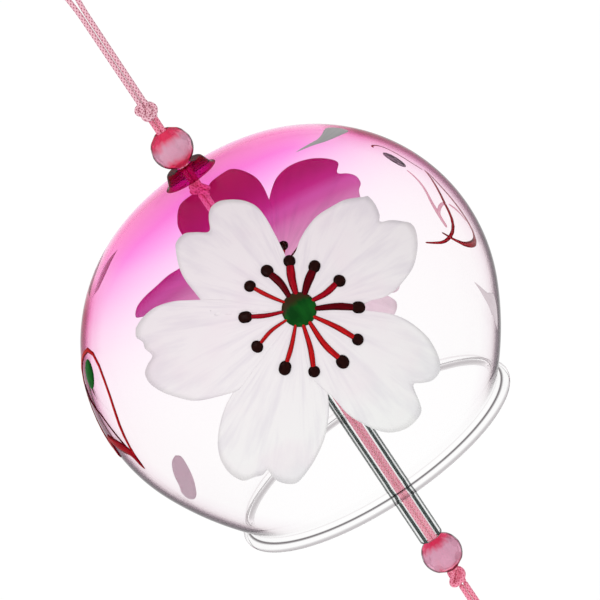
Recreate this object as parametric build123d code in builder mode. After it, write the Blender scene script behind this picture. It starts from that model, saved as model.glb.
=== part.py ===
from build123d import *
import math
import os

os.makedirs("parts", exist_ok=True)

# A glass wind bell on a doubled cord. Millimetres, +Z up, and the origin is the point
# where a hook bears inside the top of the hanging loop. The front of the bell faces -Y.

# Driving sizes of the glass bell
bell_diameter = 80.0
bell_wall = 1.2
hang_drop = 86.0            # from the hook down to the widest ring of the bell
crown_radius = 60.0         # the flat arc over the top
shoulder_offset = 6.5       # how far off the axis the centre of the arc round the widest ring lies
skirt_radius = 60.0         # the arc that draws in to the mouth
skirt_start_angle = 22.6    # degrees below the widest ring
mouth_neck_radius = 28.0    # outside, where the wall is narrowest above the lip
lip_flare_radius = 0.9      # outside, the hollow curve that turns the lip outwards
lip_end_angle = 255.0       # degrees, where that curve ends
lip_reach = 0.55            # straight stretch of the lip past the curve
collar_height = 2.3         # the thick glass ring on the crown
collar_foot_radius = 4.7
collar_top_radius = 3.7
collar_foot_round = 0.8
collar_top_round = 0.5
bell_bore_radius = 1.4
bell_bore_flare = 0.4

# Driving sizes of the cord, which is one braided cord laid double
cord_diameter = 0.9
strand_gap = 0.05           # between the two strands where they run side by side
knot_width = 4.3
knot_height = 3.7
knot_ring_tilt = 16.0       # degrees between the two rings
knot_ring_share = 0.56      # the ring's wire radius as a share of half the knot's height
knot_sink_share = 1.12      # how far a ring lies in from the knot's end, as a share of that wire radius
knot_core_share = 0.3       # the core's radius as a share of the knot's width
knot_core_height_share = 0.9
cord_in_knot = 1.0          # how far a strand's end runs into the knot that holds it
swing_gap = 0.45            # from a knot to the strand ends that swing below it

# Driving sizes of what is on the cord
bead_diameter = 7.9
bead_bore_radius = 1.2
bead_mouth_round = 0.2
bead_facet_depth = 0.11     # how far each ground facet lies inside the ball
bead_facets_round = 10
bead_facet_rows = (-54.0, -18.0, 18.0, 54.0)   # degrees of latitude
tube_diameter = 4.8
tube_bore_diameter = 3.0
tube_length = 60.0
tube_end_round = 0.3
strip_width = 34.0
strip_length = 92.0
strip_thickness = 0.4
strip_corner_round = 0.6
strip_hole_radius = 1.5
strip_hole_margin = 4.0     # paper left between the hole and the top edge

# Clearances
seat_gap = 0.15             # between pieces that rest on each other and turn freely
knot_seat_gap = 0.25        # between a knot and the glass or bead that it holds up
bead_to_knot = 2.8          # bare cord between the upper bead and the upper knot
lower_bead_drop = 25.6      # from the narrowest ring of the mouth down to the lower bead's centre

# Sizes of the hanging loop
hook_radius = 2.5           # the hook or nail that the loop is shaped for
loop_throat_height = 11.5   # below the hook point, where the two strands part
loop_throat_half_gap = 0.55
loop_corner_turn = 45.0     # degrees, at each corner beside the hook
route_arc_share = 0.45      # the part of a corner's shorter run that its arc takes

# The cord below the lower knot: x, y and the drop from its upper end, down to the bight
# in the strip's hole. Its two strands turn a quarter round each other on the way.
strip_cord_points = (
    (0.52, 0.1, 5.2),
    (0.42, 0.85, 9.8),
    (0.1, 1.75, 15.4),
    (0.0, 1.9, 19.3),
    (0.0, 1.3, 21.0),
)

# Heights, all worked out from the sizes above
cord_radius = cord_diameter / 2
strand_x = (cord_diameter + strand_gap) / 2
bell_radius = bell_diameter / 2
bead_radius = bead_diameter / 2
bead_half_height = math.sqrt(bead_radius**2 - (bead_bore_radius + bead_mouth_round) ** 2)
tube_radius = tube_diameter / 2
widest_z = -hang_drop

shoulder_radius = bell_radius - shoulder_offset
crown_centre_z = widest_z - math.sqrt((crown_radius - shoulder_radius) ** 2 - shoulder_offset**2)
crown_top_z = crown_centre_z + crown_radius
collar_foot_z = crown_centre_z + math.sqrt(crown_radius**2 - collar_foot_radius**2)
collar_top_z = crown_top_z + collar_height

upper_bead_z = collar_top_z + seat_gap + bead_half_height
upper_knot_low_z = upper_bead_z + bead_half_height + bead_to_knot
upper_knot_high_z = upper_knot_low_z + knot_height
bell_pivot_z = upper_knot_low_z - swing_gap - cord_radius

inner_knot_high_z = crown_top_z - bell_wall - knot_seat_gap
inner_knot_low_z = inner_knot_high_z - knot_height
clapper_pivot_z = inner_knot_low_z - swing_gap - cord_radius

centres_apart = skirt_radius - shoulder_radius
skirt_centre_x = shoulder_offset - centres_apart * math.cos(math.radians(skirt_start_angle))
skirt_centre_z = widest_z + centres_apart * math.sin(math.radians(skirt_start_angle))
skirt_end_angle = -math.degrees(math.acos((mouth_neck_radius - skirt_centre_x) / skirt_radius))
mouth_neck_z = skirt_centre_z + skirt_radius * math.sin(math.radians(skirt_end_angle))
flare_centre_x = mouth_neck_radius + lip_flare_radius * math.cos(math.radians(skirt_end_angle))
flare_centre_z = mouth_neck_z + lip_flare_radius * math.sin(math.radians(skirt_end_angle))
mouth_radius = flare_centre_x - lip_flare_radius - bell_wall

lower_bead_z = flare_centre_z - lower_bead_drop
tube_low_z = lower_bead_z + bead_half_height + seat_gap
tube_high_z = tube_low_z + tube_length
lower_knot_high_z = lower_bead_z - bead_half_height - seat_gap
lower_knot_low_z = lower_knot_high_z - knot_height
strip_pivot_z = lower_knot_low_z - swing_gap - cord_radius
bight_z = strip_pivot_z - strip_cord_points[-1][2]


def polar(centre_x, centre_z, radius, angle):
    """The point at an angle in degrees on a circle of the upright half section."""
    turn = math.radians(angle)
    return (centre_x + radius * math.cos(turn), centre_z + radius * math.sin(turn))


def strand(x, low_z, high_z):
    """Adds one upright strand with a rounded top to the part being built."""
    with Locations((x, 0, low_z)):
        Cylinder(cord_radius, high_z - low_z, align=(Align.CENTER, Align.CENTER, Align.MIN))
    with Locations((x, 0, high_z)):
        Sphere(cord_radius)


def knot(low_z):
    """Adds an overhand knot of both strands: two rings that lean against each other on a core."""
    ring_wire = knot_height / 2 * knot_ring_share
    ring_major = knot_width / 2 - ring_wire
    middle_z = low_z + knot_height / 2
    lift = knot_height / 2 - ring_wire * knot_sink_share
    for side in (-1, 1):
        lean = (side * knot_ring_tilt / 2, knot_ring_tilt / 3, 0)
        with Locations(Location((0, 0, middle_z + side * lift), lean)):
            Torus(ring_major, ring_wire)
    with Locations((0, 0, middle_z)):
        Cylinder(knot_width * knot_core_share, knot_height * knot_core_height_share)


def facet_planes(centre_z):
    """The planes of the ground facets, row by row, each square to its own radius."""
    for row, latitude in enumerate(bead_facet_rows):
        up = math.radians(latitude)
        for step in range(bead_facets_round):
            turn = 2 * math.pi * (step + row % 2 / 2) / bead_facets_round
            out = Vector(math.cos(up) * math.cos(turn), math.cos(up) * math.sin(turn), math.sin(up))
            yield Plane(origin=Vector(0, 0, centre_z) + out * (bead_radius - bead_facet_depth), z_dir=out)


def bead(builder, centre_z):
    """Adds a faceted round bead with a rounded bore to the part being built."""
    with Locations((0, 0, centre_z)):
        Sphere(bead_radius)
        Cylinder(bead_bore_radius, bead_diameter, mode=Mode.SUBTRACT)
    fillet(builder.edges().filter_by(GeomType.CIRCLE).filter_by(on_bead_bore), bead_mouth_round)
    for plane in facet_planes(centre_z):
        split(bisect_by=plane, keep=Keep.BOTTOM)


def on_bead_bore(edge):
    """Whether an edge is one of the two rims where a bead's bore comes out."""
    return abs(edge.radius - bead_bore_radius) < bead_mouth_round / 4


def corner_radii(points):
    """The largest arc that each corner of a cord's route takes, from its shorter run and its turn."""
    corners = [Vector(*p) for p in points]
    radii = []
    for before, here, after in zip(corners, corners[1:], corners[2:]):
        run_in = here - before
        run_out = after - here
        turn = math.radians(run_in.get_angle(run_out))
        radii.append(route_arc_share * min(run_in.length, run_out.length) / math.tan(turn / 2))
    return radii


def report_cord(name, part, path, radii):
    """Prints a cord's arcs, and its volume beside its section times its length."""
    section = math.pi * cord_radius**2
    print(name, "length", round(path.length, 2), "radii", [round(r, 2) for r in radii])
    print(name, "volume", round(part.volume, 2), "section by length", round(section * path.length, 2))


# The glass bell: crown, shoulder, skirt and flared lip in one blown wall, with its thick collar
with BuildPart() as glass_bell:
    crown_angle = math.degrees(math.atan2(widest_z - crown_centre_z, shoulder_offset))
    with BuildSketch(Plane.XZ):
        with BuildLine():
            for inset in (0, bell_wall):
                CenterArc((0, crown_centre_z), crown_radius - inset, crown_angle, 90 - crown_angle)
                CenterArc(
                    (shoulder_offset, widest_z), shoulder_radius - inset,
                    -skirt_start_angle, crown_angle + skirt_start_angle,
                )
                CenterArc(
                    (skirt_centre_x, skirt_centre_z), skirt_radius - inset,
                    skirt_end_angle, -skirt_start_angle - skirt_end_angle,
                )
                CenterArc(
                    (flare_centre_x, flare_centre_z), lip_flare_radius + inset,
                    180 + skirt_end_angle, lip_end_angle - 180 - skirt_end_angle,
                )
            lip_way = polar(0, 0, lip_reach, lip_end_angle + 90)
            lip_round_way = polar(0, 0, lip_reach + bell_wall / 2, lip_end_angle + 90)
            top_end = polar(flare_centre_x, flare_centre_z, lip_flare_radius, lip_end_angle)
            low_end = polar(flare_centre_x, flare_centre_z, lip_flare_radius + bell_wall, lip_end_angle)
            mid_end = polar(flare_centre_x, flare_centre_z, lip_flare_radius + bell_wall / 2, lip_end_angle)
            top_lip = (top_end[0] + lip_way[0], top_end[1] + lip_way[1])
            low_lip = (low_end[0] + lip_way[0], low_end[1] + lip_way[1])
            lip_tip = (mid_end[0] + lip_round_way[0], mid_end[1] + lip_round_way[1])
            Line(top_end, top_lip)
            Line(low_end, low_lip)
            ThreePointArc(top_lip, lip_tip, low_lip)
            Line((0, crown_top_z), (0, crown_top_z - bell_wall))
        make_face()
    revolve(axis=Axis.Z)
    with BuildSketch(Plane.XZ):
        with BuildLine():
            Polyline(
                (0, crown_top_z - bell_wall / 2),
                (collar_foot_radius, collar_foot_z - bell_wall / 2),
                (collar_foot_radius, collar_foot_z),
                (collar_top_radius, collar_top_z),
                (0, collar_top_z),
                close=True,
            )
        make_face()
    revolve(axis=Axis.Z)
    collar_rings = glass_bell.edges().filter_by(GeomType.CIRCLE)
    foot_ring = collar_rings.filter_by(lambda e: abs(e.radius - collar_foot_radius) < collar_foot_round / 4)
    fillet(foot_ring.sort_by(Axis.Z)[-1], collar_foot_round)
    top_ring = glass_bell.edges().filter_by(GeomType.CIRCLE).filter_by(
        lambda e: abs(e.arc_center.Z - collar_top_z) < collar_top_round / 4
    )
    fillet(top_ring.sort_by(Axis.Z)[-1], collar_top_round)
    with Locations((0, 0, crown_top_z)):
        Cylinder(bell_bore_radius, 4 * collar_height, mode=Mode.SUBTRACT)
    bore_rings = glass_bell.edges().filter_by(GeomType.CIRCLE).filter_by(
        lambda e: abs(e.radius - bell_bore_radius) < bell_bore_flare / 4
    )
    fillet(bore_rings, bell_bore_flare)
glass_bell.part.label = "glass_bell"
export_step(glass_bell.part, "parts/glass_bell.step")

# The hanging loop: one cord up from the knot, round the hook's place and down again
loop_radius = hook_radius + cord_radius
loop_side = loop_radius * math.tan(math.radians(loop_corner_turn / 2))
half_loop = [
    (strand_x, 0, upper_knot_high_z - cord_in_knot),
    (loop_throat_half_gap, 0, -loop_throat_height),
    (loop_radius, 0, loop_side - hook_radius),
    (loop_side, 0, cord_radius),
]
hanging_route = half_loop + [(-x, y, z) for x, y, z in reversed(half_loop)]
hanging_radii = corner_radii(hanging_route)
with BuildPart() as hanging_cord:
    with BuildLine() as hanging_path:
        FilletPolyline(*hanging_route, radius=hanging_radii)
    with BuildSketch(Plane(hanging_path.line @ 0, z_dir=hanging_path.line % 0)):
        Circle(cord_radius)
    sweep(path=hanging_path.line)
hanging_cord.part.label = "hanging_cord"
export_step(hanging_cord.part, "parts/hanging_cord.step")
report_cord("hanging_cord", hanging_cord.part, hanging_path.wires()[0], hanging_radii)

# The knot that keeps the upper bead from running up the cord
with BuildPart() as upper_knot:
    knot(upper_knot_low_z)
upper_knot.part.label = "upper_knot"
export_step(upper_knot.part, "parts/upper_knot.step")

# The two strands through the upper bead and the neck of the bell
for side, name in ((-1, "neck_cord_left"), (1, "neck_cord_right")):
    with BuildPart() as neck_cord:
        strand(side * strand_x, inner_knot_high_z - cord_in_knot, bell_pivot_z)
    neck_cord.part.label = name
    export_step(neck_cord.part, f"parts/{name}.step")

# The knot inside the bell, which carries it
with BuildPart() as inner_knot:
    knot(inner_knot_low_z)
inner_knot.part.label = "inner_knot"
export_step(inner_knot.part, "parts/inner_knot.step")

# The two strands from the inner knot down through the clapper tube and the lower bead
clapper_cord_low_z = lower_knot_high_z + seat_gap / 2
for side, name in ((-1, "clapper_cord_left"), (1, "clapper_cord_right")):
    with BuildPart() as clapper_cord:
        strand(side * strand_x, clapper_cord_low_z, clapper_pivot_z)
    clapper_cord.part.label = name
    export_step(clapper_cord.part, f"parts/{name}.step")

# The beads
with BuildPart() as upper_bead:
    bead(upper_bead, upper_bead_z)
upper_bead.part.label = "upper_bead"
export_step(upper_bead.part, "parts/upper_bead.step")

with BuildPart() as lower_bead:
    bead(lower_bead, lower_bead_z)
lower_bead.part.label = "lower_bead"
export_step(lower_bead.part, "parts/lower_bead.step")

# The glass tube that strikes the mouth of the bell
with BuildPart() as clapper_tube:
    with BuildSketch(Plane.XY.offset(tube_low_z)):
        Circle(tube_radius)
        Circle(tube_bore_diameter / 2, mode=Mode.SUBTRACT)
    extrude(amount=tube_length)
    fillet(clapper_tube.edges().filter_by(GeomType.CIRCLE), tube_end_round)
clapper_tube.part.label = "clapper_tube"
export_step(clapper_tube.part, "parts/clapper_tube.step")

# The knot under the lower bead, which carries the bead and the tube
with BuildPart() as lower_knot:
    knot(lower_knot_low_z)
lower_knot.part.label = "lower_knot"
export_step(lower_knot.part, "parts/lower_knot.step")

# The cord below: one strand down, through the strip's hole and up again beside it
half_bight = [(strand_x, 0, strip_pivot_z)]
half_bight += [(x, y, strip_pivot_z - drop) for x, y, drop in strip_cord_points]
strip_route = half_bight + [(-x, -y, z) for x, y, z in reversed(half_bight)]
strip_radii = corner_radii(strip_route)
with BuildPart() as strip_cord:
    with BuildLine() as strip_path:
        FilletPolyline(*strip_route, radius=strip_radii)
    with BuildSketch(Plane(strip_path.line @ 0, z_dir=strip_path.line % 0)):
        Circle(cord_radius)
    sweep(path=strip_path.line)
    with Locations(strip_path.line @ 0, strip_path.line @ 1):
        Sphere(cord_radius)
strip_cord.part.label = "strip_cord"
export_step(strip_cord.part, "parts/strip_cord.step")
report_cord("strip_cord", strip_cord.part, strip_path.wires()[0], strip_radii)

# The paper strip that catches the wind, threaded on the bight
strip_hole_z = bight_z + cord_radius + seat_gap - strip_hole_radius
strip_top_z = strip_hole_z + strip_hole_radius + strip_hole_margin
with BuildPart() as paper_strip:
    with BuildSketch(Plane.XZ.offset(-strip_thickness / 2)):
        with Locations((0, strip_top_z - strip_length / 2)):
            RectangleRounded(strip_width, strip_length, strip_corner_round)
        with Locations((0, strip_hole_z)):
            Circle(strip_hole_radius, mode=Mode.SUBTRACT)
    extrude(amount=strip_thickness)
paper_strip.part.label = "paper_strip"
export_step(paper_strip.part, "parts/paper_strip.step")

print("bell pivot", round(bell_pivot_z, 3), "clapper pivot", round(clapper_pivot_z, 3))
print("strip pivot", round(strip_pivot_z, 3), "bight", round(bight_z, 3))
print("mouth radius", round(mouth_radius, 3), "at", round(flare_centre_z, 3))
print("crown top", round(crown_top_z, 3), "collar top", round(collar_top_z, 3))
print("upper bead", round(upper_bead_z, 3))
print("upper knot", round(upper_knot_low_z, 3), round(upper_knot_high_z, 3))
print("inner knot", round(inner_knot_low_z, 3), round(inner_knot_high_z, 3))
print("tube", round(tube_low_z, 3), round(tube_high_z, 3), "lower bead", round(lower_bead_z, 3))
print("lower knot", round(lower_knot_low_z, 3), round(lower_knot_high_z, 3))
print("strip top", round(strip_top_z, 3), "bottom", round(strip_top_z - strip_length, 3))
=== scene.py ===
import logging
import math
from dataclasses import dataclass, field
from enum import Enum
from typing import Callable, Sequence

import bpy
import numpy as np
from mathutils import Matrix


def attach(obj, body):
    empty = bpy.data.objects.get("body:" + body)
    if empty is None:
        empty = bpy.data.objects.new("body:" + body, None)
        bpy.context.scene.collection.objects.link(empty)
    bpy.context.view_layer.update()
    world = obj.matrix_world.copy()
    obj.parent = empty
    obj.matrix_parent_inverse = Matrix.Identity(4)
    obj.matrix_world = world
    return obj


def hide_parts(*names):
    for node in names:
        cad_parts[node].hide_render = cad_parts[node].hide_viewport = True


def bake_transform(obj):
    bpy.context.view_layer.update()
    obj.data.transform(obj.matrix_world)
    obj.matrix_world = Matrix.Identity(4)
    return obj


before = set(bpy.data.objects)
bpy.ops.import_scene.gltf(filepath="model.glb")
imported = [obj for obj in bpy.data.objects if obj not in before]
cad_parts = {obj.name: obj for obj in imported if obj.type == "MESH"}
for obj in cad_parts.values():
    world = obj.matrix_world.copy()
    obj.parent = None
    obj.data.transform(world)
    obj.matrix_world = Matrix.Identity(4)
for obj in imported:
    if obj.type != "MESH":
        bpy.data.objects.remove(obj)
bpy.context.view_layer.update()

LOG = logging.getLogger("wind_bell")
MM = 0.001
Point = tuple[float, float]
Rgb = tuple[float, float, float]
Line = tuple[Point, ...]
Widths = tuple[float, ...]
Stops = tuple[tuple[float, Rgb], ...]
Piece = bpy.types.Object
Paint = bpy.types.Material
Socket = bpy.types.NodeSocket
WHITE = (1.0, 1.0, 1.0)
# A direction that no cord here runs in.
ACROSS = (0.13, 0.97, 0.21)
# Millimetres down the bell's wall that a run of 1 stands for.
RUN_SPAN = 100.0


class Body(Enum):
    """The bodies that the pieces ride on."""

    HANGER = "hanger"
    NECK = "neck"
    BELL = "bell"
    CLAPPER = "clapper"
    TUBE = "tube"
    LOWER_KNOT = "lower_knot"
    STRIP_CORD = "strip_cord"


def deselect() -> None:
    """Deselects every object."""
    bpy.ops.object.select_all(action="DESELECT")


def make_active(obj: Piece) -> None:
    """Selects one object alone and makes it active.

    Args:
        obj: The object to work on.
    """
    deselect()
    obj.hide_set(False)
    obj.select_set(True)
    bpy.context.view_layer.objects.active = obj


def name_active(name: str) -> Piece:
    """Names the active object and its data.

    Args:
        name: The piece's name.

    Returns:
        The object.
    """
    obj = bpy.context.active_object
    obj.name = name
    obj.data.name = name
    return obj


def set_places(obj: Piece, places: np.ndarray) -> None:
    """Puts the vertices of a mesh in place, from one row of metres for each."""
    obj.data.vertices.foreach_set("co", np.ascontiguousarray(places, np.float32).ravel())
    obj.data.update()


def get_places(obj: Piece) -> np.ndarray:
    """Reads the vertices of a mesh.

    Args:
        obj: The mesh object.

    Returns:
        One row of x, y and z for each vertex.
    """
    places = np.empty(len(obj.data.vertices) * 3, np.float32)
    obj.data.vertices.foreach_get("co", places)
    return places.reshape(-1, 3).astype(float)


def weld(obj: Piece, outwards: bool = True) -> None:
    """Merges doubled vertices and, on a closed piece, points its faces outwards.

    Args:
        obj: The mesh object.
        outwards: Whether to recalculate the normals.
    """
    make_active(obj)
    bpy.ops.object.mode_set(mode="EDIT")
    bpy.ops.mesh.select_all(action="SELECT")
    bpy.ops.mesh.remove_doubles(threshold=2e-7)
    if outwards:
        bpy.ops.mesh.normals_make_consistent(inside=False)
    bpy.ops.object.mode_set(mode="OBJECT")
    bpy.ops.object.shade_smooth()


def wrap_grid(name: str, across: int, along: int, place: Callable[[np.ndarray, np.ndarray], np.ndarray],
              closed: bool = True) -> Piece:
    """Adds a flat grid and wraps it to a shape, keeping the grid's own UV map.

    Args:
        name: The piece's name.
        across: Cells along U.
        along: Cells along V.
        place: Gives the places in metres for arrays of U and V, each from 0 to 1.
        closed: Whether the shape closes on itself, so its normals can be recalculated.

    Returns:
        The new mesh object.
    """
    deselect()
    bpy.ops.mesh.primitive_grid_add(x_subdivisions=across, y_subdivisions=along, size=1.0, calc_uvs=True)
    obj = name_active(name)
    flat = get_places(obj)
    set_places(obj, place(flat[:, 0] + 0.5, flat[:, 1] + 0.5))
    weld(obj, outwards=closed)
    return obj


def turned(name: str, section: Sequence[Point], steps: int) -> Piece:
    """Spins a closed wall section about the Z axis into a closed turned piece.

    Args:
        name: The piece's name.
        section: Radius and height in millimetres, in order round the wall.
        steps: Steps round the axis.

    Returns:
        The new mesh object.
    """
    deselect()
    bpy.ops.mesh.primitive_circle_add(vertices=len(section), radius=1.0, fill_type="NOTHING")
    obj = name_active(name)
    flat = np.array(section, float) * MM
    set_places(obj, np.stack([flat[:, 0], 0 * flat[:, 0], flat[:, 1]], 1))
    bpy.ops.object.mode_set(mode="EDIT")
    bpy.ops.mesh.select_all(action="SELECT")
    bpy.ops.mesh.spin(steps=steps, angle=2 * math.pi, center=(0, 0, 0), axis=(0, 0, 1))
    bpy.ops.object.mode_set(mode="OBJECT")
    weld(obj)
    return obj


def line_length(line: np.ndarray) -> float:
    """The length of a line of points."""
    return float(np.linalg.norm(np.diff(line, axis=0), axis=1).sum())


def resample(line: np.ndarray, count: int) -> np.ndarray:
    """Spaces a line's points evenly.

    Args:
        line: The line's points.
        count: How many are wanted.

    Returns:
        The evenly spaced points.
    """
    run = np.concatenate([[0], np.cumsum(np.linalg.norm(np.diff(line, axis=0), axis=1))])
    want = np.linspace(0, run[-1], count)
    return np.stack([np.interp(want, run, line[:, k]) for k in range(line.shape[1])], 1)


def sample(line: np.ndarray, share: np.ndarray) -> np.ndarray:
    """Reads an evenly spaced line at shares of its run, one row for each."""
    marks = np.linspace(0, 1, len(line))
    return np.stack([np.interp(share, marks, line[:, k]) for k in range(line.shape[1])], 1)


def smooth_line(points: Sequence[Sequence[float]], steps: int) -> np.ndarray:
    """A smooth line through points, evenly sampled.

    Args:
        points: The points it goes through.
        steps: The number of samples.

    Returns:
        One row for each sample.
    """
    knots = np.array(points, float)
    padded = np.vstack([2 * knots[:1] - knots[1:2], knots, 2 * knots[-1:] - knots[-2:-1]])
    fine = []
    for i in range(len(knots) - 1):
        a, b, c, d = padded[i:i + 4]
        for t in np.linspace(0, 1, 16, endpoint=False):
            fine.append(0.5 * (2 * b + (c - a) * t + (2 * a - 5 * b + 4 * c - d) * t * t
                               + (3 * b - a - 3 * c + d) * t ** 3))
    fine.append(knots[-1])
    return resample(np.array(fine), steps)


def carried_side(line: np.ndarray, first: Sequence[float]) -> tuple[np.ndarray, np.ndarray]:
    """Carries a side direction along a line without twisting it.

    Args:
        line: The line's points.
        first: The side at its start.

    Returns:
        The line's direction and its side, at each point.
    """
    way = np.gradient(line, axis=0)
    way /= np.linalg.norm(way, axis=1)[:, None]
    side = np.empty_like(line)
    side[0] = first
    for i in range(1, len(line)):
        level = side[i - 1] - way[i] * np.dot(side[i - 1], way[i])
        side[i] = level / np.linalg.norm(level)
    return way, side


def join_pieces(name: str, pieces: Sequence[Piece]) -> Piece:
    """Joins pieces into one.

    Args:
        name: The name of the whole.
        pieces: What is joined.

    Returns:
        The joined piece.
    """
    make_active(pieces[0])
    for obj in pieces[1:]:
        obj.select_set(True)
    bpy.ops.object.join()
    return name_active(name)


def rounded(corners: Sequence[Point], cuts: Sequence[float], steps: int = 6) -> list[Point]:
    """Rounds the corners of an open line.

    Args:
        corners: The line's points.
        cuts: How far from each inner corner its curve starts, in the same unit.
        steps: Samples on each curve.

    Returns:
        The rounded line's points.
    """
    points = [np.array(c, float) for c in corners]
    line = [points[0]]
    for before, here, after, cut in zip(points, points[1:], points[2:], cuts):
        start = here + (before - here) / np.linalg.norm(before - here) * cut
        end = here + (after - here) / np.linalg.norm(after - here) * cut
        for t in np.linspace(0, 1, steps + 1):
            line.append((1 - t) ** 2 * start + 2 * t * (1 - t) * here + t * t * end)
    line.append(points[-1])
    return [tuple(p) for p in line]


def finish_piece(obj: Piece, body: Body, slot: str, *replaced: str) -> Piece:
    """Makes a finished piece ride on its body and hides the solids that it stands for.

    Args:
        obj: The piece.
        body: The body that carries it.
        slot: Not used.
        replaced: The solids that it stands for.

    Returns:
        The same piece.
    """
    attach(obj, body.value)
    if replaced:
        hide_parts(*replaced)
    LOG.info("%s rides on %s", obj.name, body.value)
    return obj


class Tree:
    """A material's node tree, with short calls for adding and joining nodes."""

    def __init__(self, name: str, in_world: bool = False) -> None:
        """Starts an empty material or world.

        Args:
            name: Its name.
            in_world: Whether it is the world.
        """
        self.owner = bpy.data.worlds.new(name) if in_world else bpy.data.materials.new(name)
        if in_world:
            bpy.context.scene.world = self.owner
        self.owner.use_nodes = True
        self.tree = self.owner.node_tree
        self.tree.nodes.clear()
        self.out = self.tree.nodes.new("ShaderNodeOutputWorld" if in_world else "ShaderNodeOutputMaterial")

    def add(self, kind: str, inputs: dict | None = None, **settings: object) -> bpy.types.Node:
        """Adds a node.

        Args:
            kind: The node's type, without the leading ShaderNode.
            inputs: Values or sockets for its inputs, by name or number.
            settings: Its own settings.

        Returns:
            The new node.
        """
        node = self.tree.nodes.new("ShaderNode" + kind)
        for key, value in settings.items():
            setattr(node, key, value)
        for key, value in (inputs or {}).items():
            if isinstance(value, Socket):
                self.tree.links.new(value, node.inputs[key])
            else:
                node.inputs[key].default_value = value
        return node

    def math(self, operation: str, *values: object) -> Socket:
        """Adds a Math node for numbers or sockets in order, and returns its result."""
        return self.add("Math", dict(enumerate(values)), operation=operation).outputs[0]

    def ramp(self, factor: Socket, stops: Stops, span: float = 1.0) -> Socket:
        """Adds a colour ramp.

        Args:
            factor: What drives it.
            stops: Place and colour of each stop.
            span: The place that is the ramp's end.

        Returns:
            The colour.
        """
        node = self.add("ValToRGB", {0: factor})
        ramp = node.color_ramp
        while len(ramp.elements) < len(stops):
            ramp.elements.new(0.5)
        for element, (place, colour) in zip(ramp.elements, stops):
            element.position = place / span
            element.color = (*colour, 1)
        return node.outputs[0]

    def mix(self, factor: object, a: object, b: object, blend: str = "MIX") -> Socket:
        """Mixes two colours.

        Args:
            factor: The share of the second one.
            a: The first colour or its socket.
            b: The second colour or its socket.
            blend: How they mix.

        Returns:
            The mixed colour.
        """
        node = self.tree.nodes.new("ShaderNodeMix")
        node.data_type = "RGBA"
        node.blend_type = blend
        for key, value in ((0, factor), (6, a), (7, b)):
            if isinstance(value, Socket):
                self.tree.links.new(value, node.inputs[key])
            else:
                node.inputs[key].default_value = value if key == 0 else (*value, 1)
        return node.outputs[2]

    def times(self, a: object, b: object) -> Socket:
        """Multiplies two colours."""
        return self.mix(1.0, a, b, "MULTIPLY")

    def step(self, value: Socket, start: float, end: float, low: float = 0.0, high: float = 1.0) -> Socket:
        """Maps start to end onto low to high, and holds the value beyond them."""
        return self.add("MapRange", {0: value, 1: start, 2: end, 3: low, 4: high}).outputs[0]

    def attribute(self, name: str) -> Socket:
        """Reads a number that the piece carries on its vertices."""
        return self.add("Attribute", attribute_name=name).outputs["Fac"]

    def facing(self) -> Socket:
        """Tells how far a face turns away, from 0 face on to 1 edge on."""
        return self.add("LayerWeight", {"Blend": 0.5}).outputs["Facing"]

    def uv(self) -> Socket:
        """Gives the place on the piece's own UV map."""
        return self.add("UVMap").outputs[0]

    def brush(self) -> Socket:
        """Gives the marks of a brush that was drawn along V."""
        return self.noise(self.uv(), 2.0, 4.0, (9.0, 1.3, 1.0))

    def place(self) -> Socket:
        """Gives the place on the piece in metres."""
        return self.add("TexCoord").outputs["Object"]

    def height(self) -> Socket:
        """Gives the height on the piece in metres."""
        return self.add("SeparateXYZ", {0: self.place()}).outputs[2]

    def noise(self, place: Socket, scale: float, detail: float = 2.0, stretch: Rgb = WHITE) -> Socket:
        """Adds a noise pattern.

        Args:
            place: Where it is read.
            scale: How fine it is.
            detail: How many finer layers it has.
            stretch: How much finer it is along each axis.

        Returns:
            Its strength.
        """
        if stretch != WHITE:
            place = self.add("Mapping", {"Vector": place, "Scale": stretch}).outputs[0]
        return self.add("TexNoise", {"Vector": place, "Scale": scale, "Detail": detail}).outputs[0]

    def bump(self, height: Socket, strength: float, depth: float) -> Socket:
        """Adds a bump and returns its normal."""
        return self.add("Bump", {"Height": height, "Strength": strength, "Distance": depth}).outputs[0]

    def show(self, shader: bpy.types.Node) -> Paint:
        """Joins a shader to the output and returns the material."""
        self.tree.links.new(shader.outputs[0], self.out.inputs[0])
        return self.owner

    def paint(self, inputs: dict) -> Paint:
        """Makes the material a plain one with these inputs."""
        return self.show(self.add("BsdfPrincipled", inputs))

    def see_through(self, glass: bpy.types.Node, tint: Rgb) -> Paint:
        """Lets lamps through glass, so that what is behind it is lit.

        Args:
            glass: The glass shader.
            tint: What one face lets through.

        Returns:
            The material.
        """
        clear = self.add("BsdfTransparent", {"Color": (*tint, 1)})
        path = self.add("LightPath")
        lamps = self.math("MAXIMUM", path.outputs["Is Shadow Ray"], path.outputs["Is Diffuse Ray"])
        return self.show(self.add("MixShader", {0: lamps, 1: glass.outputs[0], 2: clear.outputs[0]}))


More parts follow.
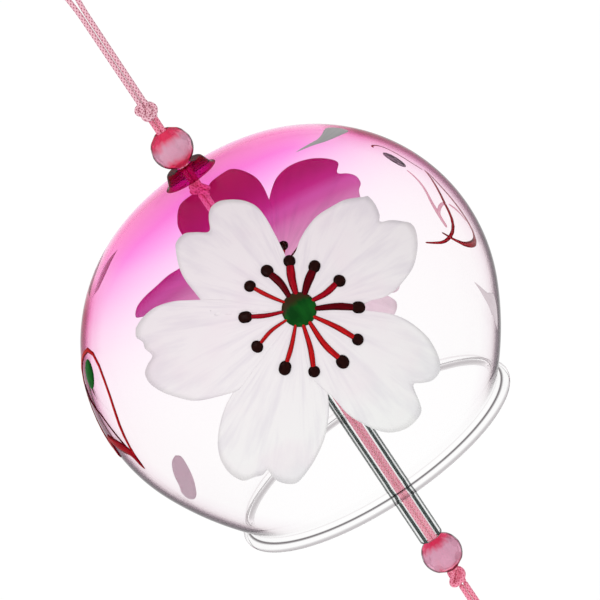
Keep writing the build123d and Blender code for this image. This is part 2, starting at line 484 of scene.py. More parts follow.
@dataclass(frozen=True)
class BlownGlass:
    """Clear blown glass with pink run in from the crown, deeper where it is looked through aslant, with
    painted shade along its outline, painted lines of shade on the lip and a painted pale reflection on the
    crown's outline.
    """

    pink: Stops = (
        (0.0, (0.52, 0.01, 0.23)), (4.2, (0.52, 0.01, 0.23)), (4.8, (0.97, 0.72, 0.93)),
        (5.8, (0.985, 0.58, 0.97)), (10.0, (0.99, 0.58, 0.975)), (15.0, (0.995, 0.61, 0.98)),
        (18.0, (0.995, 0.62, 0.985)), (21.0, (0.997, 0.65, 0.99)), (25.0, (1.0, 0.745, 0.992)),
        (28.0, (1.0, 0.79, 0.995)), (31.0, (1.0, 0.84, 0.996)), (35.0, (1.0, 0.895, 0.997)),
        (40.0, (0.998, 0.94, 0.995)), (45.0, (0.997, 0.962, 0.992)), (52.0, (0.996, 0.974, 0.988)),
        (60.0, (0.993, 0.978, 0.984)), (72.0, (0.990, 0.982, 0.985)), (92.0, (0.992, 0.991, 0.991)),
    )
    depth: Stops = (
        (0.0, (0.99, 0.96, 0.94)), (18.0, (1.0, 0.99, 0.962)), (25.0, (1.0, 0.99, 0.974)),
        (35.0, (1.0, 0.995, 0.985)), (45.0, (1.0, 0.997, 0.996)), (60.0, WHITE))
    # Painted shade along the wall's outline: the clear glass turns near black as its face turns edge on. The
    # stops after these give the same painted shade in pink, for the pink part of the wall.
    edge: Stops = (
        (0.58, WHITE), (0.66, (0.97, 0.945, 0.96)), (0.70, (0.93, 0.89, 0.91)), (0.735, (0.84, 0.79, 0.81)),
        (0.765, (0.62, 0.55, 0.58)), (0.80, (0.27, 0.22, 0.25)), (0.86, (0.10, 0.07, 0.09)),
        (1.0, (0.03, 0.02, 0.025)))
    pink_edge_shade: Stops = (
        (0.58, WHITE), (0.68, (0.97, 0.87, 0.93)), (0.735, (0.88, 0.66, 0.78)), (0.765, (0.68, 0.42, 0.56)),
        (0.80, (0.42, 0.18, 0.30)), (0.86, (0.32, 0.06, 0.17)), (1.0, (0.26, 0.02, 0.11)))
    # Painted shade on the lip: grey and near-black lines painted round it at set places down the wall, with
    # white between.
    lip: Stops = (
        (90.8, WHITE), (91.0, (0.84, 0.81, 0.82)), (91.2, WHITE), (92.75, WHITE), (92.95, (0.12, 0.10, 0.11)),
        (93.3, (0.12, 0.10, 0.11)), (93.5, WHITE), (94.75, WHITE), (94.9, (0.30, 0.26, 0.28)),
        (95.08, (0.30, 0.26, 0.28)), (95.2, (0.97, 0.96, 0.965)), (95.8, (0.97, 0.96, 0.965)))
    ior: float = 1.04
    collar_end: Point = (0.042, 0.055)
    crown_above: float = 0.046
    crown_end: Point = (0.33, 0.26)
    # Facing over which the painted reflection on the crown's outline turns to white.
    crown_reflection_facing: Point = (0.59, 0.93)
    tint_end: Point = (0.42, 0.64)
    flare: Point = (0.86, 0.905)
    steepest: float = 0.16
    collar_share: float = 0.35
    coat: float = 0.03
    shadow: Rgb = (0.97, 0.93, 0.96)

    def material(self) -> Paint:
        """Builds the material on the run down the wall and the wall's inside, which the piece carries.

        Returns:
            The material.
        """
        t = Tree("blown_glass")
        run, facing = t.attribute("wall_run"), t.facing()
        thick = t.math("DIVIDE", 1.0, t.math("MAXIMUM", t.math("SUBTRACT", 1.0, facing), self.steepest))
        aslant = t.step(run, *self.collar_end, self.collar_share)
        thick = t.math("MULTIPLY_ADD", t.math("SUBTRACT", thick, 1.0), aslant, 1.0)
        pink = t.add("Gamma", {"Color": t.ramp(run, self.pink, RUN_SPAN), "Gamma": thick}).outputs[0]
        depth = t.add("Gamma", {"Color": t.ramp(run, self.depth, RUN_SPAN),
                                "Gamma": t.math("MULTIPLY", thick, thick)}).outputs[0]
        # Painted reflection: on the pink crown the colour turns to white towards the outline, for the white
        # surroundings reflected there.
        crown = t.math("MULTIPLY", t.step(run, *self.crown_end),
                       t.math("GREATER_THAN", run, self.crown_above))
        pale = t.math("MULTIPLY", t.step(facing, *self.crown_reflection_facing), crown)
        plain = t.math("MAXIMUM", crown, t.step(run, *self.flare))
        # Painted shade at the outline, pink high up and clear lower down, kept off the crown and the flare by
        # plain.
        edge = t.mix(t.step(run, *self.tint_end), t.ramp(facing, self.pink_edge_shade), t.ramp(facing, self.edge))
        # rim is that painted outline shade times the painted lines of shade on the lip.
        rim = t.times(t.mix(plain, edge, WHITE), t.ramp(run, self.lip, RUN_SPAN))
        tint = t.times(t.mix(pale, t.times(pink, depth), WHITE), rim)
        both_faces = t.mix(t.attribute("wall_inside"), t.times(tint, tint), WHITE)
        glass = t.add("BsdfPrincipled", {
            "Base Color": both_faces, "Roughness": 0.0, "IOR": self.ior, "Coat Weight": self.coat,
            "Coat Roughness": 0.0, "Transmission Weight": 1.0})
        return t.see_through(glass, self.shadow)


@dataclass(frozen=True)
class DrawnGlass:
    """Clear drawn glass tube, with a near-black band of painted shade inside its outline and a blackish grey
    green painted shade where its wall is seen edge on.
    """

    ior: float = 1.45
    clear: Rgb = (0.97, 0.985, 0.98)
    # Painted shade: near black, for the band part way in from the tube's outline.
    shade_band: Rgb = (0.0006, 0.0016, 0.0013)
    bands: tuple[Point, Point, Point] = ((0.0, 0.15), (0.20, 0.37), (0.43, 0.74))
    # Painted shade at the outline itself, blackish grey green.
    rim: Stops = ((0.84, (0.12, 0.13, 0.125)), (1.0, (0.05, 0.055, 0.05)))
    shadow: Rgb = (0.97, 0.98, 0.975)

    def material(self) -> Paint:
        """Builds the material.

        Returns:
            The material.
        """
        t = Tree("drawn_glass")
        tones = (self.clear, self.shade_band, self.clear)
        stops = [(place, tone) for band, tone in zip(self.bands, tones) for place in band]
        # Painted shade by how far the face turns away: a near-black band between clear ones, then the shaded
        # outline. The bore stays clear.
        outer = t.ramp(t.facing(), [*stops, *self.rim])
        colour = t.mix(t.attribute("bore"), outer, self.clear)
        glass = t.add("BsdfPrincipled", {"Base Color": colour, "Roughness": 0.0, "IOR": self.ior,
                                         "Transmission Weight": 1.0})
        return t.see_through(glass, self.shadow)


@dataclass(frozen=True)
class BeadGlass:
    """Milky mauve pink glass with ground facets, crimson where the cord goes in and comes out, with painted
    shade in rings towards its outline, a painted lighter ring inside them, and painted light and shade on the
    facets.
    """

    middle_z: float
    half_height: float = 3.2
    body: Rgb = (0.76, 0.42, 0.55)
    pole: Rgb = (0.78, 0.02, 0.085)
    reach: Point = (0.30, 0.80)
    # Painted shade and light by how far the face turns away: a lighter ring above 1, then rings of shade that
    # grow near black at the outline.
    rings: Line = (
        (0.34, 1.0), (0.42, 0.74), (0.47, 1.15), (0.57, 1.12), (0.61, 0.40), (0.64, 0.75), (0.70, 0.20),
        (1.0, 0.03))
    light_pole: Rgb = (0.86, 0.13, 0.26)
    streaks: float = 4.5
    clouds: float = 420.0
    bleed: Point = (1.6, 2.2)
    bleed_middle: float = 1.9
    # Painted light and shade on the facets: each cell gets a random lighter or darker tone, strongest towards
    # the outline.
    facets: float = 820.0
    facet_face: Point = (0.12, 0.5)
    facet_shade_strength: float = 0.8
    sheen: Stops = ((0.0, (0.78, 0.70, 0.74)), (0.45, WHITE), (1.0, (1.15, 1.13, 1.13)))
    ior: float = 1.07
    shadow: Rgb = (0.92, 0.72, 0.82)

    def material(self, name: str) -> Paint:
        """Builds the material.

        Args:
            name: Its name.

        Returns:
            The material.
        """
        t = Tree(name)
        place = t.place()
        axis = t.add("SeparateXYZ", {0: place})
        off = t.math("ABSOLUTE", t.math("SUBTRACT", axis.outputs[2], self.middle_z * MM))
        turn = t.math("ARCTAN2", axis.outputs[0], axis.outputs[1])
        streak = t.noise(t.add("CombineXYZ", {0: turn, 1: off, 2: 0.0}).outputs[0], self.streaks, 4.0)
        cloud = t.noise(place, self.clouds)
        spread = t.math("ADD", t.math("MULTIPLY", streak, self.bleed[0] * MM),
                        t.math("MULTIPLY", cloud, self.bleed[1] * MM))
        start, end = ((share * self.half_height + self.bleed_middle) * MM for share in self.reach)
        pole = t.step(t.math("ADD", spread, off), start, end)
        facing = t.facing()
        # ring: the painted shade and light rings, tinted mauve.
        ring = t.ramp(facing, [(spot, (v, v * (0.55 + 0.45 * min(v, 1)), v * (0.7 + 0.3 * min(v, 1))))
                               for spot, v in self.rings])
        # Painted light and shade on the facets, stronger as the face turns away. The same cells also give the
        # bump.
        cells = t.add("TexVoronoi", {"Vector": place, "Scale": self.facets, "Randomness": 0.75})
        tone = t.add("SeparateXYZ", {0: cells.outputs["Color"]}).outputs[0]
        cut = t.math("MULTIPLY", t.step(facing, *self.facet_face), self.facet_shade_strength)
        facet = t.mix(cut, WHITE, t.ramp(tone, self.sheen))
        streaked = t.mix(t.math("MULTIPLY", streak, 0.6), self.pole, self.light_pole)
        colour = t.times(t.mix(pole, self.body, streaked), t.times(ring, facet))
        glass = t.add("BsdfPrincipled", {"Base Color": colour, "Roughness": 0.1, "IOR": self.ior,
                                         "Specular Tint": (0.25, 0.25, 0.25, 1), "Transmission Weight": 0.25,
                                         "Normal": t.bump(tone, 0.5, 0.00012)})
        return t.see_through(glass, self.shadow)


class Pigment(Enum):
    """The glossy enamels of the brush strokes: the darker colour, painted as shade along a stroke's edges,
    and the lighter one, painted as a highlight along its ridge, both also in random streaks.
    """

    CRIMSON = ((0.10, 0.0, 0.004), (0.44, 0.004, 0.014))
    DARK_CRIMSON = ((0.035, 0.0, 0.002), (0.13, 0.0, 0.004))
    RED = ((0.13, 0.0, 0.002), (0.66, 0.012, 0.014))
    BROWN_BLACK = ((0.006, 0.001, 0.001), (0.020, 0.004, 0.003))
    GREEN = ((0.004, 0.055, 0.008), (0.010, 0.135, 0.016))
    # Painted shade: green paint as it looks in shade from inside the bell, painted grey-black.
    GREY_BLACK = ((0.03, 0.025, 0.03), (0.30, 0.27, 0.29))
    PALE_RED = ((0.80, 0.45, 0.50), (0.86, 0.60, 0.64))


@dataclass(frozen=True)
class Enamel:
    """Glossy enamel of one pigment, with painted shade along the edges of the stroke and a painted highlight
    along its ridge, streaked along it.
    """

    pigment: Pigment
    # Where the painted shade gives way to the painted highlight.
    shade_to_highlight: Point = (0.40, 0.66)
    gloss: float = 0.5

    def material(self) -> Paint:
        """Builds the material: U runs round the stroke and V along it.

        Returns:
            The material.
        """
        # thick is the pigment's painted shade colour, and thin its painted highlight colour.
        thick, thin = self.pigment.value
        t = Tree(f"enamel_{self.pigment.name.lower()}_{'glossy' if self.gloss > 0.1 else 'dry'}")
        uv = t.uv()
        streak = t.noise(uv, 1.6, 3.0, (7.0, 3.0, 1.0))
        across = t.add("SeparateXYZ", {0: uv}).outputs[0]
        # Painted highlight along the stroke's ridge and painted shade along its edges, mixed with random
        # streaks.
        ridge = t.math("ABSOLUTE", t.math("SINE", t.math("MULTIPLY", across, 2 * math.pi)))
        light = t.math("ADD", t.math("MULTIPLY", ridge, 0.32), t.math("MULTIPLY", streak, 0.55))
        colour = t.ramp(light, [(self.shade_to_highlight[0], thick), (self.shade_to_highlight[1], thin)])
        return t.paint({"Base Color": colour, "Roughness": 0.2, "IOR": 1.1, "Specular IOR Level": self.gloss,
                        "Normal": t.bump(streak, 0.35, 0.0002)})


@dataclass(frozen=True)
class HeartEnamel:
    """Green enamel with brown wiped over it from the stalks."""

    green: Rgb = (0.006, 0.085, 0.010)
    deep: Rgb = (0.003, 0.045, 0.006)
    brown: Rgb = (0.035, 0.022, 0.008)
    wipe: Point = (0.72, 1.02)

    def material(self) -> Paint:
        """Builds the material: U runs round the disc's section and V across it.

        Returns:
            The material.
        """
        t = Tree("enamel_heart")
        uv = t.uv()
        cloud = t.noise(uv, 2.2, 3.0, (2.0, 2.0, 1.0))
        turn = t.add("SeparateXYZ", {0: uv}).outputs[0]
        upper = t.math("COSINE", t.math("MULTIPLY", turn, 2 * math.pi))
        wiped = t.step(t.math("MULTIPLY_ADD", cloud, 0.9, upper), *self.wipe)
        green = t.ramp(cloud, [(0.40, self.deep), (0.62, self.green)])
        return t.paint({"Base Color": t.mix(wiped, green, self.brown), "Roughness": 0.22, "IOR": 1.1,
                        "Normal": t.bump(cloud, 0.3, 0.0003)})


@dataclass(frozen=True)
class PetalPaint:
    """White paint brushed from the heart of the blossom outwards, with a breath of lilac."""

    name: str = "petal_paint"
    light: Rgb = (0.87, 0.87, 0.86)
    shade: Rgb = (0.80, 0.79, 0.805)
    flush: Rgb = (0.85, 0.76, 0.80)
    veil: Rgb = (0.99, 0.905, 0.955)
    veil_z: Point = (-100.0, -66.0)

    def material(self) -> Paint:
        """Builds the material: U runs round the petal's edge and V from its base outwards.

        Returns:
            The material.
        """
        t = Tree(self.name)
        strokes = t.brush()
        cloud = t.noise(t.place(), 90.0, 2.0)
        brushed = t.ramp(strokes, [(0.34, self.shade), (0.56, self.light)])
        flushed = t.ramp(cloud, [(0.50, (0, 0, 0)), (0.72, (0.4, 0.4, 0.4))])
        veil = t.mix(t.step(t.height(), *(z * MM for z in self.veil_z)), WHITE, self.veil)
        colour = t.times(t.mix(flushed, brushed, self.flush), veil)
        return t.paint({"Base Color": colour, "Roughness": 0.45, "Specular IOR Level": 0.2,
                        "Normal": t.bump(strokes, 0.2, 0.0002)})


@dataclass(frozen=True)
class PetalUnderside:
    """The white paint seen from inside the bell, through the pink: deep magenta high up and pale low down."""

    top_z: float = -62.0
    foot_z: float = -102.0
    stops: Stops = (
        (0.0, (0.48, 0.0, 0.12)), (0.125, (0.49, 0.0, 0.14)), (0.21, (0.50, 0.0, 0.17)),
        (0.3125, (0.61, 0.02, 0.28)), (0.37, (0.70, 0.13, 0.46)), (0.41, (0.70, 0.15, 0.45)),
        (0.46, (0.75, 0.28, 0.54)), (0.65, (0.86, 0.56, 0.70)), (1.0, (0.96, 0.90, 0.91)))

    def material(self) -> Paint:
        """Builds the material on object coordinates, brushed along the petal.

        Returns:
            The material.
        """
        t = Tree("petal_underside")
        down = t.step(t.height(), self.top_z * MM, self.foot_z * MM)
        strokes = t.brush()
        brushed = t.ramp(strokes, [(0.36, (0.90, 0.90, 0.90)), (0.56, WHITE)])
        colour = t.times(t.ramp(down, self.stops), brushed)
        return t.paint({"Base Color": colour, "Roughness": 0.5, "Specular IOR Level": 0.2})


@dataclass(frozen=True)
class BraidedCord:
    """Fine braided pink cord, with a painted highlight on its highest picks, painted shade in the gaps
    between them and painted shade along its edges.
    """

    # light is the painted highlight on the picks, and deep the painted shade in the gaps.
    light: Rgb = (0.92, 0.53, 0.61)
    deep: Rgb = (0.36, 0.035, 0.10)
    picks: float = 1.15
    strands: float = 4.0

    def material(self, length: float, name: str) -> Paint:
        """Builds the material for a cord whose UV map has U round it and V along it.

        Args:
            length: The cord's length in millimetres.
            name: The material's name.

        Returns:
            The material.
        """
        t = Tree(name)
        uv = t.add("SeparateXYZ", {0: t.uv()})
        around = t.math("MULTIPLY", uv.outputs[0], self.strands)
        along = t.math("MULTIPLY", uv.outputs[1], length * self.picks)
        left = t.math("SINE", t.math("MULTIPLY", t.math("ADD", around, along), 2 * math.pi))
        right = t.math("SINE", t.math("MULTIPLY", t.math("SUBTRACT", around, along), 2 * math.pi))
        braid = t.math("MULTIPLY_ADD", t.math("MAXIMUM", left, right), 0.5, 0.5)
        fibre = t.noise(t.place(), 2600.0, 2.0)
        height = t.math("MULTIPLY_ADD", fibre, 0.35, braid)
        # Painted shade: darker where the cord turns edge on, on top of the braid's painted light and shade.
        braid_light_shade = t.math("MULTIPLY_ADD", t.facing(), -0.55, height)
        colour = t.ramp(braid_light_shade, ((0.12, self.deep), (0.95, self.light)))
        return t.paint({"Base Color": colour, "Roughness": 0.6, "Sheen Weight": 0.2, "Sheen Roughness": 0.4,
                        "Normal": t.bump(height, 0.7, 0.00006)})


PALE_BRAID = BraidedCord()
ROSE_BRAID = BraidedCord(light=(0.95, 0.30, 0.42), deep=(0.56, 0.05, 0.13))
# The cord through the neck, painted lighter as painted light where it runs inside the glass tube.
TUBE_BRAID = BraidedCord(light=(0.96, 0.37, 0.47), deep=(0.76, 0.13, 0.23))


@dataclass(frozen=True)
class StripPaper:
    """Plain long-fibred paper, tinted pink towards its foot."""

    top: Rgb = (0.90, 0.87, 0.86)
    foot: Rgb = (0.88, 0.55, 0.66)
    tint_z: Point = (-190.0, -257.4)

    def material(self) -> Paint:
        """Builds the material on object coordinates.

        Returns:
            The material.
        """
        t = Tree("strip_paper")
        place = t.place()
        tint = t.mix(t.step(t.height(), *(z * MM for z in self.tint_z)), self.top, self.foot)
        fibres = t.noise(place, 2300.0, 5.0, (1.0, 1.0, 0.18))
        cloud = t.noise(place, 160.0, 3.0)
        light = t.ramp(t.math("ADD", t.math("MULTIPLY", fibres, 0.7), t.math("MULTIPLY", cloud, 0.3)),
                       [(0.38, (0.80, 0.79, 0.78)), (0.60, WHITE)])
        colour = t.times(tint, light)
        return t.paint({"Base Color": colour, "Roughness": 0.85, "Normal": t.bump(fibres, 0.3, 0.0001)})


@dataclass(frozen=True)
class BellShape:
    """The bell's wall in millimetres, from the same sizes as the solid."""

    widest_z: float = -86.0
    radius: float = 40.0
    wall: float = 1.2
    crown_radius: float = 60.0
    shoulder_offset: float = 6.5
    skirt_radius: float = 60.0
    skirt_start: float = 22.6
    neck_radius: float = 28.0
    flare_radius: float = 0.9
    flare_end: float = 255.0
    lip_reach: float = 0.55
    collar_height: float = 2.3
    collar_foot: float = 4.7
    collar_top: float = 3.7
    bore: float = 1.4
    collar_cuts: Widths = (0.4, 0.5, 0.55)
    collar_run: float = 3.9

    def side(self, inset: float) -> list[tuple[float, float, float]]:
        """One face of the wall from the crown to the end of the lip.

        Args:
            inset: 0 for the outside, the wall's thickness for the inside.

        Returns:
            Radius, height and the run down the outside, for each point.
        """
        shoulder = self.radius - self.shoulder_offset
        apart = self.crown_radius - shoulder
        crown_z = self.widest_z - math.sqrt(apart ** 2 - self.shoulder_offset ** 2)
        crown_angle = math.atan2(self.widest_z - crown_z, self.shoulder_offset)
        start = math.radians(self.skirt_start)
        skirt_x = self.shoulder_offset - (self.skirt_radius - shoulder) * math.cos(start)
        skirt_z = self.widest_z + (self.skirt_radius - shoulder) * math.sin(start)
        end = math.acos((self.neck_radius - skirt_x) / self.skirt_radius)
        line, run = [], 0.0
        arcs = ((0.0, crown_z, self.crown_radius, math.pi / 2, crown_angle, 22),
                (self.shoulder_offset, self.widest_z, shoulder, crown_angle, -start, 56),
                (skirt_x, skirt_z, self.skirt_radius, -start, -end, 18))
        for x, z, radius, a, b, steps in arcs:
            for angle in np.linspace(a, b, steps, endpoint=False):
                line.append((x + (radius - inset) * math.cos(angle), z + (radius - inset) * math.sin(angle),
                             run + radius * (a - angle)))
            run += radius * (a - b)
        neck_z = skirt_z - self.skirt_radius * math.sin(end)
        flare_x = self.neck_radius + self.flare_radius * math.cos(end)
        flare_z = neck_z - self.flare_radius * math.sin(end)
        stop = math.radians(self.flare_end)
        bend = self.flare_radius + self.wall / 2
        for angle in np.linspace(math.pi - end, stop, 12):
            line.append((flare_x + (self.flare_radius + inset) * math.cos(angle),
                         flare_z + (self.flare_radius + inset) * math.sin(angle),
                         run + (0.0 if inset else bend * (angle - math.pi + end))))
        x, z, run = line[-1]
        line.append((x - self.lip_reach * math.sin(stop), z + self.lip_reach * math.cos(stop),
                     run + (0.0 if inset else self.lip_reach)))
        return line

    def section(self) -> list[tuple[float, float, float, float]]:
        """The closed wall section with the collar and the bore, in order.

        Returns:
            Radius, height, run and whether it is inside, for each point.
        """
        outside = self.side(0.0)
        inside = self.side(self.wall)
        foot = next(i for i, p in enumerate(outside) if p[0] > self.collar_foot + 0.5)
        crown_top = outside[0][1]
        top = crown_top + self.collar_height
        crown = outside[:22]
        foot_z = float(np.interp(self.collar_foot, [p[0] for p in crown], [p[1] for p in crown]))
        collar = rounded(
            [(self.bore, crown_top), (self.bore, top), (self.collar_top, top), (self.collar_foot, foot_z),
             outside[foot][:2]], self.collar_cuts, 7)
        line = [(r, z, min(self.collar_run, r)) for r, z in collar[:-1]] + outside[foot:]
        tip, back = outside[-1], inside[-1]
        way = math.radians(self.flare_end + 90)
        middle = ((tip[0] + back[0]) / 2, (tip[1] + back[1]) / 2)
        for turn in np.linspace(0, math.pi, 9)[1:-1]:
            reach = self.wall / 2 * math.sin(turn)
            share = math.cos(turn) * self.wall / 2
            cross = ((tip[0] - back[0]) / self.wall, (tip[1] - back[1]) / self.wall)
            line.append((middle[0] + cross[0] * share + math.cos(way) * reach,
                         middle[1] + cross[1] * share + math.sin(way) * reach, tip[2] + 0.6 * math.sin(turn)))
        line = [(*p, 1.0 if p[0] < self.bore + 0.05 else 0.0) for p in line]
        inner = [p for p in reversed(inside) if p[0] > self.bore + 1.0]
        line += [(*p, 0.0 if i < 13 else 1.0) for i, p in enumerate(inner)]
        bore_end = rounded([inner[-1][:2], (self.bore, crown_top - self.wall), (self.bore, crown_top)],
                           self.collar_cuts[:1], 5)
        line += [(r, z, r, 1.0) for r, z in bore_end[1:-1]]
        return line


class Glaze:
    """Finds places on the outside of the bell."""

    REACH = 38.5

    def __init__(self, shape: BellShape) -> None:
        """Tabulates the outside by the slope of the line from the middle of the bell.

        Args:
            shape: The bell's wall.
        """
        outer = np.array(shape.side(0.0)[:-13])
        slope = np.gradient(outer[:, :2], axis=0)
        self.middle = shape.widest_z
        self.latitude = np.degrees(np.arctan2(outer[:, 1] - self.middle, outer[:, 0]))[::-1]
        self.radius = outer[::-1, 0]
        self.height = outer[::-1, 1]
        length = np.hypot(slope[:, 0], slope[:, 1])
        self.out_r = (-slope[:, 1] / length)[::-1]
        self.out_z = (slope[:, 0] / length)[::-1]

    def place(self, x: np.ndarray, y: np.ndarray, azimuth: float, latitude: float,
              lift: np.ndarray) -> np.ndarray:
        """Lays flat drawing coordinates on the glass.

        Args:
            x: Millimetres to the right of the drawing's heart, seen from outside.
            y: Millimetres above it.
            azimuth: Degrees from the front to the heart.
            latitude: Degrees above the widest ring to the heart.
            lift: Millimetres above the glass.

        Returns:
            Places in metres, one row each.
        """
        az, lat = math.radians(azimuth), math.radians(latitude)
        heart = np.array([math.sin(az) * math.cos(lat), -math.cos(az) * math.cos(lat), math.sin(lat)])
        up = np.array([0, 0, 1.0]) - heart * heart[2]
        up /= np.linalg.norm(up)
        right = np.cross(up, heart)
        far = np.hypot(x, y)
        turn = far / self.REACH
        share = np.where(far > 1e-9, np.sin(turn) / np.maximum(far, 1e-9), 1 / self.REACH)
        way = (np.cos(turn)[:, None] * heart + (share * x)[:, None] * right + (share * y)[:, None] * up)
        lats = np.degrees(np.arcsin(np.clip(way[:, 2], -1, 1)))
        around = np.arctan2(way[:, 0], -way[:, 1])
        radius, height = (np.interp(lats, self.latitude, here) + lift * np.interp(lats, self.latitude, out)
                          for here, out in ((self.radius, self.out_r), (self.height, self.out_z)))
        return np.stack([radius * np.sin(around), -radius * np.cos(around), height], 1) * MM


@dataclass
class Painter:
    """Paints one drawing on the bell, about its heart."""

    glaze: Glaze
    label: str
    azimuth: float
    latitude: float
    turn: float = 0.0
    coat: float = 0.09
    edge_points: int = 132
    petal_rings: int = 14
    line_points: int = 60
    stroke_sides: int = 14
    stroke_rings: int = 26
    made: list[Piece] = field(default_factory=list)

    def lay(self, spot: np.ndarray, lift: np.ndarray) -> np.ndarray:
        """Lays drawing coordinates on the glass, turned as the whole drawing is.

        Args:
            spot: One row of x and y for each place, in drawing millimetres.
            lift: How high each stands above the glass.

        Returns:
            Places in metres.
        """
        cos, sin = math.cos(math.radians(self.turn)), math.sin(math.radians(self.turn))
        return self.glaze.place(spot[:, 0] * cos + spot[:, 1] * sin, spot[:, 1] * cos - spot[:, 0] * sin,
                                self.azimuth, self.latitude, lift)

    def petal(self, name: str, outline: Sequence[Point], paints: tuple[Paint, Paint],
              heart: Point = (0.0, 0.0), lift: float = 0.05) -> Piece:
        """Paints a filled petal as a thin coat.

        Args:
            name: The petal's name within the drawing.
            outline: Its edge from one side of the base round the tip to the other, in drawing millimetres.
            paints: The finish outside and the finish seen through the glass.
            heart: The point that its brush strokes start from.
            lift: How far its outside stands above the glass.

        Returns:
            The petal.
        """
        edge = smooth_line(outline, self.edge_points)
        start = np.array(heart)

        def lay(u: np.ndarray, v: np.ndarray) -> np.ndarray:
            """Lays the coat between its base and its edge.

            Args:
                u: How far round the edge, from 0 to 1.
                v: How far from the base outwards, from 0 to 1.

            Returns:
                Places in metres.
            """
            rim = sample(edge, u)
            spot = start + (rim - start) * np.clip(v, 0.0, 1)[:, None]
            return self.lay(spot, np.full(len(u), lift))

        obj = wrap_grid(f"{self.label}_{name}", self.edge_points - 1, self.petal_rings, lay, closed=False)
        zero = np.zeros(1)
        centre = self.glaze.place(zero, zero, self.azimuth, self.latitude, zero)[0]
        out = centre - np.array([0, 0, self.glaze.middle * MM])
        normal = np.mean([p.normal[:] for p in obj.data.polygons], axis=0)
        if float(np.dot(normal, out)) < 0:
            obj.data.flip_normals()
        make_active(obj)
        for paint in paints:
            obj.data.materials.append(paint)
        coat = obj.modifiers.new("coat", "SOLIDIFY")
        coat.thickness = self.coat * MM
        coat.offset = -1
        coat.material_offset = 1
        bpy.ops.object.modifier_apply(modifier=coat.name)
        self.made.append(obj)
        return obj

    def stroke(self, name: str, points: Sequence[Point], widths: Sequence[float], height: float,
               paint: Paint, lift: float = 0.02, under: Paint | None = None) -> Piece:
        """Lays one raised brush stroke with rounded ends.

        Args:
            name: The stroke's name within the drawing.
            points: Its middle line, in drawing millimetres.
            widths: Its width at evenly spaced places along the line.
            height: How high its ridge stands.
            paint: Its finish.
            lift: How far the middle of its thickness lies above the glass.
            under: The finish seen through the glass, if it is another one.

        Returns:
            The stroke.
        """
        count = self.line_points
        line = smooth_line(points, count) if len(points) > 2 else np.linspace(points[0], points[-1], count)
        slope = np.gradient(line, axis=0)
        slope /= np.linalg.norm(slope, axis=1)[:, None]
        end = min(0.5, max(widths) / 2 / max(line_length(line), 1e-6))

        def lay(u: np.ndarray, v: np.ndarray) -> np.ndarray:
            """Lays the stroke round its middle line.

            Args:
                u: How far round the stroke, from 0 to 1.
                v: How far along it, from 0 to 1.

            Returns:
                Places in metres.
            """
            t = 0.5 - 0.5 * np.cos(v * math.pi)
            middle, way = sample(line, t), sample(slope, t)
            near = np.clip(np.minimum(t, 1 - t) / end, 0, 1)
            taper = np.sqrt(np.clip(1 - (1 - near) ** 2, 0, 1))
            half = np.interp(t, np.linspace(0, 1, len(widths)), widths) / 2 * taper
            across = half * np.cos(u * 2 * math.pi)
            rise = lift + height * taper * np.sin(u * 2 * math.pi)
            spot = middle + np.stack([-way[:, 1], way[:, 0]], 1) * across[:, None]
            return self.lay(spot, rise)

        obj = wrap_grid(f"{self.label}_{name}", self.stroke_sides, self.stroke_rings, lay)
        obj.data.materials.append(paint)
        if under:
            obj.data.materials.append(under)
            for face in obj.data.polygons:
                out = face.center.x * face.normal.x + face.center.y * face.normal.y
                face.material_index = 1 if out < 0 else 0
        self.made.append(obj)
        return obj

    def join(self, name: str, objects: Sequence[Piece]) -> Piece:
        """Joins several strokes of one kind into one piece.

        Args:
            name: The piece's name within the drawing.
            objects: The strokes.

        Returns:
            The joined piece.
        """
        whole = join_pieces(f"{self.label}_{name}", objects)
        self.made = [o for o in self.made if o not in objects[1:]]
        return whole

    def hang(self) -> None:
        """Makes all that was painted ride on the bell."""
        for obj in self.made:
            finish_piece(obj, Body.BELL, "bell_glass")


# The loose petals are white paint: the mauve and slate tones are that white darkened as painted shade, and
# plum is that white as seen through the pink glass.
LOOSE_TONES = {
    "mauve": ((0.73, 0.63, 0.67), (0.66, 0.57, 0.61), (0.72, 0.57, 0.63)),
    "slate": ((0.37, 0.355, 0.36), (0.30, 0.29, 0.295), (0.34, 0.31, 0.33)),
    "plum": ((0.40, 0.02, 0.16), (0.24, 0.01, 0.10), (0.30, 0.01, 0.12)),
}


@dataclass
class PaintBox:
    """The paints, each made once."""

    white: Paint
    under: Paint
    loose: dict[str, Paint]
    heart: Paint
    inks: dict[Pigment, Paint]
    dry_inks: dict[Pigment, Paint]

    @classmethod
    def mixed(cls) -> "PaintBox":
        """Mixes all the paints.

        Returns:
            The filled box.
        """
        loose = {name: PetalPaint(f"loose_petal_{name}", *tones, WHITE).material()
                 for name, tones in LOOSE_TONES.items()}
        return cls(PetalPaint().material(), PetalUnderside().material(), loose, HeartEnamel().material(),
                   {p: Enamel(p).material() for p in Pigment},
                   {p: Enamel(p, gloss=0.04).material() for p in Pigment})


def polar_petal(turn: float, size: float = 1.0) -> list[Point]:
    """The outline of a notched petal.

    Args:
        turn: Degrees from straight up to the petal's middle, to the left.
        size: Its size beside the usual one.

    Returns:
        Points in drawing millimetres.
    """
    usual = ((36, 13.0), (33, 18.0), (28.5, 21.8), (23, 24.6), (17, 26.6), (11, 27.9), (5.5, 28.3), (2, 27.6),
             (0, 25.0), (-2.5, 27.2), (-6, 28.0), (-12, 27.6), (-18, 26.0), (-24, 23.6), (-29, 20.4),
             (-33, 17.0), (-36, 13.0))
    return [(-size * r * math.sin(math.radians(turn + a)), size * r * math.cos(math.radians(turn + a)))
            for a, r in usual]


